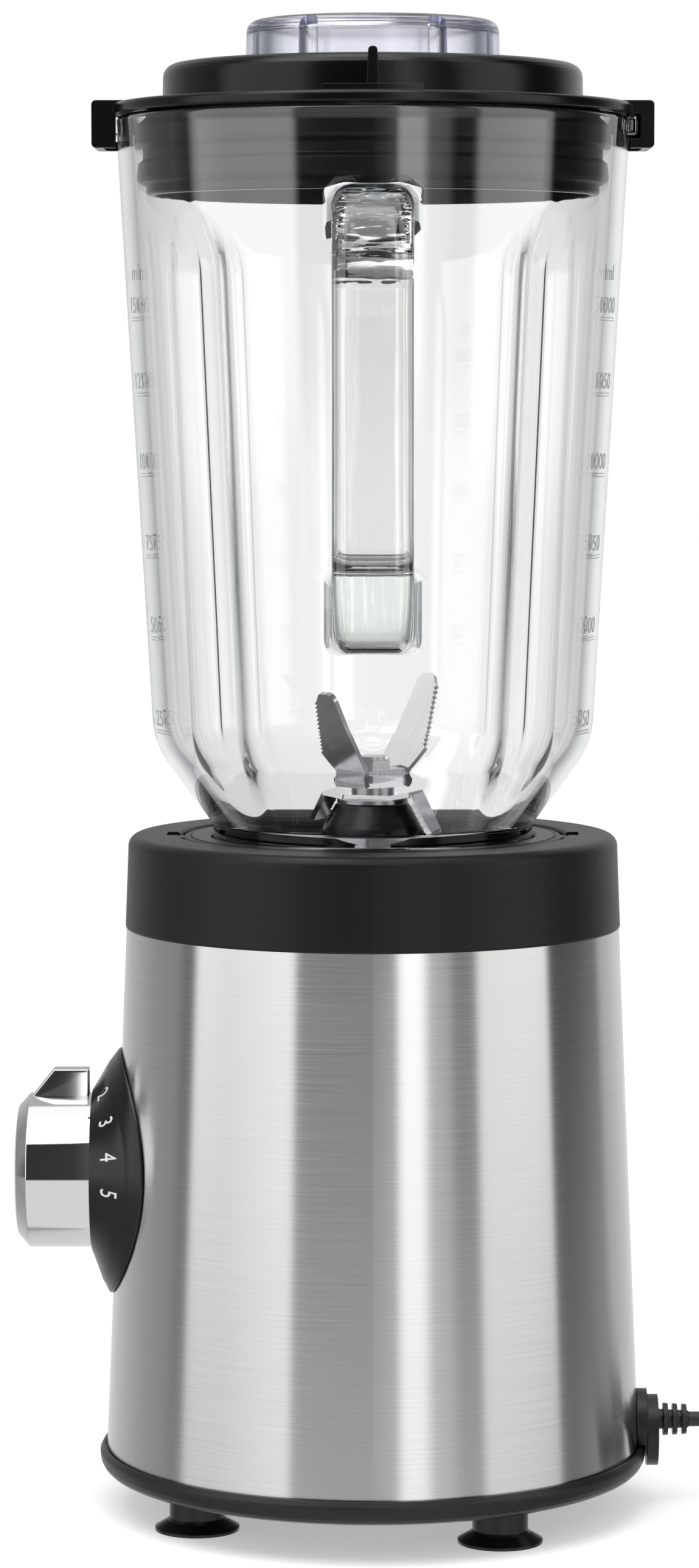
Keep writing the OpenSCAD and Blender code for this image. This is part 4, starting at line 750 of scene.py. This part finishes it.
bottom_angle = math.atan2(WAIST - FOOT, WAIST_H - FOOT_H)
inner_foot = (FOOT - GLASS * math.cos(bottom_angle) - HOLE) / math.tan(bottom_angle)
outer = rounded([(HOLE, JUG_LOW, 0), (NECK, JUG_LOW, 0.8), (NECK, JUG_LOW + NECK_H, 1.5),
                 (FOOT, JUG_LOW + FOOT_H, 1.5), (WAIST, WAIST_Z, 24), (RIM, JUG_HIGH, 1.6),
                 (RIM - GLASS, JUG_HIGH, 1.6), (WAIST - GLASS, WAIST_Z + 1.6, 19.8),
                 (HOLE, JUG_LOW + FOOT_H + GLASS * math.sin(bottom_angle) - inner_foot, 3)], steps=10)
outline = densify(outer + [outer[0]], wall_step)[:-1]
rim_at = max(range(len(outline)), key=lambda i: outline[i][1])

# Columns stand close together across each flute and wider apart between them, in degrees
FLUTE_SPAN, FLUTE_STEP, FLUTE_STEPS, WALL_STEPS = 17.6, 0.55, 16, 26
angles = []
for k in range(4):
    middle = 45 + 90 * k
    angles += [middle + FLUTE_STEP * step for step in range(-FLUTE_STEPS, FLUTE_STEPS + 1)]
    angles += [middle + FLUTE_SPAN / 2 + (90 - FLUTE_SPAN) * step / WALL_STEPS
               for step in range(1, WALL_STEPS)]
verts, faces, n = [], [], len(outline)
for angle in angles:
    nearest = round((angle - 45) / 90) * 90 + 45
    for i, (r, z) in enumerate(outline):
        aside = math.radians(angle - nearest) * r
        if TAPER_Z - TAPER_H - FLUTE_MARGIN < z < ARCH_Z + ARCH_H + FLUTE_MARGIN:
            half, deep = (FLUTE_HALF, FLUTE_DEPTH) if i <= rim_at else (RIB_HALF, RIB_DEPTH)
            r -= flute_depth(aside, z, half, deep)
        a = math.radians(angle)
        verts.append((r * MM * math.cos(a), r * MM * math.sin(a), z * MM))
for c in range(len(angles)):
    d = (c + 1) % len(angles)
    faces += [(c * n + i, d * n + i, d * n + (i + 1) % n, c * n + (i + 1) % n) for i in range(n)]
jug = mesh_object("jug_glass", verts, faces, sharp=50)


def wall_radius(z):
    """Radius of the jug's outer face at that height, above the waist."""
    return RIM - (JUG_HIGH - z) * SLOPE


# The handle's outer and inner edges, in the upright plane through the jug's axis
HANDLE_TOP, HANDLE_LOW = 368.0, 245.5
GAP_TOP, GAP_LOW, GAP_RISE = 346.8, 266.5, 9.5
HANDLE_WIDTH, HANDLE_CORNER = 21.3, 5.2
FLARE, FLARE_SHARE, GRIP_FROM, ROOT_DEPTH = 4.0, 0.6, 88, 3
ARM_POINTS, GRIP_POINTS, BEND_STEPS = 14, 20, 12


def handle_side(top, low, out_top, out_low, fillet_top, fillet_low, rise=0):
    """Points along one edge of the handle, as many in each stretch for either edge."""
    root_top = (wall_radius(top) - ROOT_DEPTH, top + rise)
    root_low = (wall_radius(low) - ROOT_DEPTH, low)
    points = rounded([(*root_top, 0), (out_top, top, fillet_top), (out_low, low, fillet_low),
                      (*root_low, 0)], steps=BEND_STEPS)
    start, end = points[0], points[-1]
    bend_top, bend_low = points[1:BEND_STEPS + 2], points[BEND_STEPS + 2:-1]

    def between(a, b, count):
        return [(a[0] + (b[0] - a[0]) * k / count, a[1] + (b[1] - a[1]) * k / count) for k in range(count)]
    return (between(start, bend_top[0], ARM_POINTS) + bend_top[:-1]
            + between(bend_top[-1], bend_low[0], GRIP_POINTS) + bend_low[:-1]
            + between(bend_low[-1], end, ARM_POINTS) + [end])


edge_out = handle_side(HANDLE_TOP, HANDLE_LOW, out_top=108, out_low=104, fillet_top=24, fillet_low=20)
edge_in = handle_side(GAP_TOP, GAP_LOW, out_top=94, out_low=92, fillet_top=8, fillet_low=8, rise=GAP_RISE)
rings = []
for (xo, zo), (xi, zi) in zip(edge_out, edge_in):
    across = Vector((xo - xi, zo - zi))
    middle = Vector(((xo + xi) / 2, (zo + zi) / 2))
    # Near the wall the section grows in a quarter round
    from_wall = max(min(xo, xi) - wall_radius(middle.y) + 1, 0) if min(xo, xi) < GRIP_FROM else FLARE
    flare = FLARE - math.sqrt(max(FLARE ** 2 - (FLARE - min(from_wall, FLARE)) ** 2, 0))
    half = across.length / 2 + flare * FLARE_SHARE
    side = HANDLE_WIDTH / 2 + flare * FLARE_SHARE
    across.normalize()
    section = rounded([(-half, -side, HANDLE_CORNER), (half, -side, HANDLE_CORNER),
                       (half, side, HANDLE_CORNER), (-half, side, HANDLE_CORNER)], steps=7)
    ring = []
    for u, v in section:
        point = middle + across * u
        ring.append((point.x, v, point.y))
    rings.append(ring)
handle = ring_loft("jug_handle", rings)


def join(whole, part):
    """Unites a solid with another, which is then gone."""
    step = whole.modifiers.new("join", "BOOLEAN")
    step.object = part
    step.operation = "UNION"
    step.solver = "EXACT"
    bpy.context.view_layer.objects.active = whole
    bpy.ops.object.modifier_apply(modifier=step.name)
    bpy.data.objects.remove(part)


join(jug, handle)
# Two lugs under the lid's hooks, with rounded ends
LUG_HALF, LUG_H, LUG_IN, LUG_OUT, LUG_CORNER = 7.0, 5.2, 66.0, 73.4, 1.2
LUG_LOW, LUG_HIGH = JUG_HIGH - LUG_H, JUG_HIGH
for side in (-1, 1):
    rings = []
    for radius, inset in ((LUG_IN, 0.0), (LUG_OUT - 0.7, 0.0), (LUG_OUT - 0.2, 0.3), (LUG_OUT, 0.9)):
        # The top stays a hair under the rim's, so the two faces don't lie in one plane
        low, high, half = LUG_LOW + inset, LUG_HIGH - inset - 0.01, LUG_HALF - inset
        face = rounded([(-half, low, LUG_CORNER), (half, low, LUG_CORNER), (half, high, LUG_CORNER),
                        (-half, high, LUG_CORNER)], steps=4)
        rings.append([(u, side * math.sqrt(radius ** 2 - u ** 2), v) for u, v in face])
    join(jug, ring_loft("jug_lug", rings if side < 0 else [ring[::-1] for ring in rings]))
jug.data.polygons.foreach_set("use_smooth", [True] * len(jug.data.polygons))
jug.data.set_sharp_from_angle(angle=math.radians(50))

glass = new_material("pressed_glass", Base_Color=(1.0, 1.0, 1.0), Roughness=0.0, IOR=1.52,
                     Transmission_Weight=1.0, Coat_Weight=0.7, Coat_Roughness=0.0, Coat_IOR=1.5)
glass_tree = glass.node_tree
tint = add(glass_tree, "ShaderNodeVolumeAbsorption", {"Color": (0.82, 0.93, 0.84, 1), "Density": 8.0})
glass_tree.links.new(tint.outputs[0], glass_tree.nodes["Material Output"].inputs["Volume"])
# Ripples that the mould left in the handle run across its upper arm and along its grip. Heights
# and distances here are in metres.
ARM_Z, ARM_BLEND, ROOT_X, ROOT_BLEND = 0.3405, 0.002, 0.076, 0.006
RIPPLE_DEPTH, GRIP_SHARE = 0.0007, 0.35
spot = add(glass_tree, "ShaderNodeSeparateXYZ",
           {0: add(glass_tree, "ShaderNodeTexCoord").outputs["Object"]}).outputs


def ripples(across, upright):
    """Noise that changes so often in a metre across the handle and upwards."""
    stretched = add(glass_tree, "ShaderNodeCombineXYZ",
                    {"Y": maths(glass_tree, "MULTIPLY", spot["Y"], across),
                     "Z": maths(glass_tree, "MULTIPLY", spot["Z"], upright)})
    noise = add(glass_tree, "ShaderNodeTexNoise",
                {"Vector": stretched.outputs[0], "Scale": 1.0, "Detail": 2.0, "Roughness": 0.5})
    return noise.outputs["Fac"]


on_arm = spread(glass_tree, maths(glass_tree, "SUBTRACT", spot["Z"], ARM_Z), 0, 1, over=ARM_BLEND)
on_handle = spread(glass_tree, maths(glass_tree, "SUBTRACT", spot["X"], ROOT_X), 0, 1, over=ROOT_BLEND)
wavy = add(glass_tree, "ShaderNodeMix",
           {"Factor": on_arm, 2: ripples(260.0, 25.0), 3: ripples(45.0, 230.0)})
strength = maths(glass_tree, "MULTIPLY", on_handle, spread(glass_tree, on_arm, GRIP_SHARE, 1.0))
ripple = add(glass_tree, "ShaderNodeBump",
             {"Strength": 1.0, "Distance": RIPPLE_DEPTH,
              "Height": maths(glass_tree, "MULTIPLY", wavy.outputs[0], strength)})
glass_tree.links.new(ripple.outputs["Normal"], principled(glass).inputs["Normal"])
dress(glass, jug)
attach(jug, "jug")
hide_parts("glass_jug")

# The scale in millilitres stands on both sides of the wall, with a double line under each number
SCALE_AT = 71
SCALE_MARKS = [("1500", 334.2), ("1250", 313.6), ("1000", 291.6), ("750", 269.2), ("500", 246.6),
               ("250", 220.8)]
UNIT_Z, UNIT_TALL, NUMBER_TALL, NUMBER_WIDTH, NUMBER_RISE = 346.5, 4.2, 4.4, 1.2, 3.4
LINE_TALL, LINE_WIDTH, LINE_GAP, INK_THICK = 0.22, 2.5, 0.8, 0.14
LINE_BEARINGS = (-4.8, -3.2, -1.6, 0, 1.6, 3.2, 4.8)


def on_wall(right, up, out, bearing, height):
    """A point of a mark that stands upright on the wall, at that bearing in degrees and that height."""
    radius = wall_radius(height + up) + out
    angle = math.radians(bearing) + right / radius
    return (radius * math.cos(angle) * MM, radius * math.sin(angle) * MM, (height + up) * MM)


marks = [("ml", UNIT_TALL, NUMBER_WIDTH, bearing, UNIT_Z) for bearing in (-SCALE_AT, SCALE_AT)]
for text, height in SCALE_MARKS:
    for bearing in (-SCALE_AT, SCALE_AT):
        marks.append((text, NUMBER_TALL, NUMBER_WIDTH, bearing, height + NUMBER_RISE))
        for line in (0.0, LINE_GAP):
            marks += [("-", LINE_TALL, LINE_WIDTH, bearing + part, height - line) for part in LINE_BEARINGS]
scale_marks = lettering("jug_scale", marks, on_wall, thickness=INK_THICK)
scale_ink = moulded_material("scale_ink", (0.42, 0.45, 0.43), roughness=0.5, grain=0.0003, depth=0.00001,
                             edge=0)
dress(scale_ink, scale_marks)
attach(scale_marks, "jug")


# ---- Lid and gasket ----
# The satin black lid plugs the jug with a soft ring of two lips. Its hooks close over the glass
# lugs, and a short fin with a pad marks the handle's side.

lid_plastic = moulded_material("lid_plastic", (0.003, 0.003, 0.0034), roughness=0.22, grain=0.0004,
                               depth=0.00002, Specular_IOR_Level=0.28)
dress(lid_plastic, "lid")
lip_rubber = moulded_material("lip_rubber", (0.006, 0.006, 0.008), roughness=0.34, grain=0.0006,
                              depth=0.00002, Specular_IOR_Level=0.35)
dress(lip_rubber, "lid_gasket")


# ---- Measuring cap ----
# A clear cup turned over in the lid's filling hole. Its grip has notched lobes, with a faint
# blue tint where the plastic is seen edge-on.

clear = new_material("clear_cap_plastic", Base_Color=(0.98, 0.98, 1.0), Roughness=0.16, IOR=1.46,
                     Transmission_Weight=1.0)
tint = add(clear.node_tree, "ShaderNodeVolumeAbsorption", {"Color": (0.45, 0.5, 1.0, 1), "Density": 11.0})
clear.node_tree.links.new(tint.outputs[0], clear.node_tree.nodes["Material Output"].inputs["Volume"])
dress(clear, "measuring_cap")
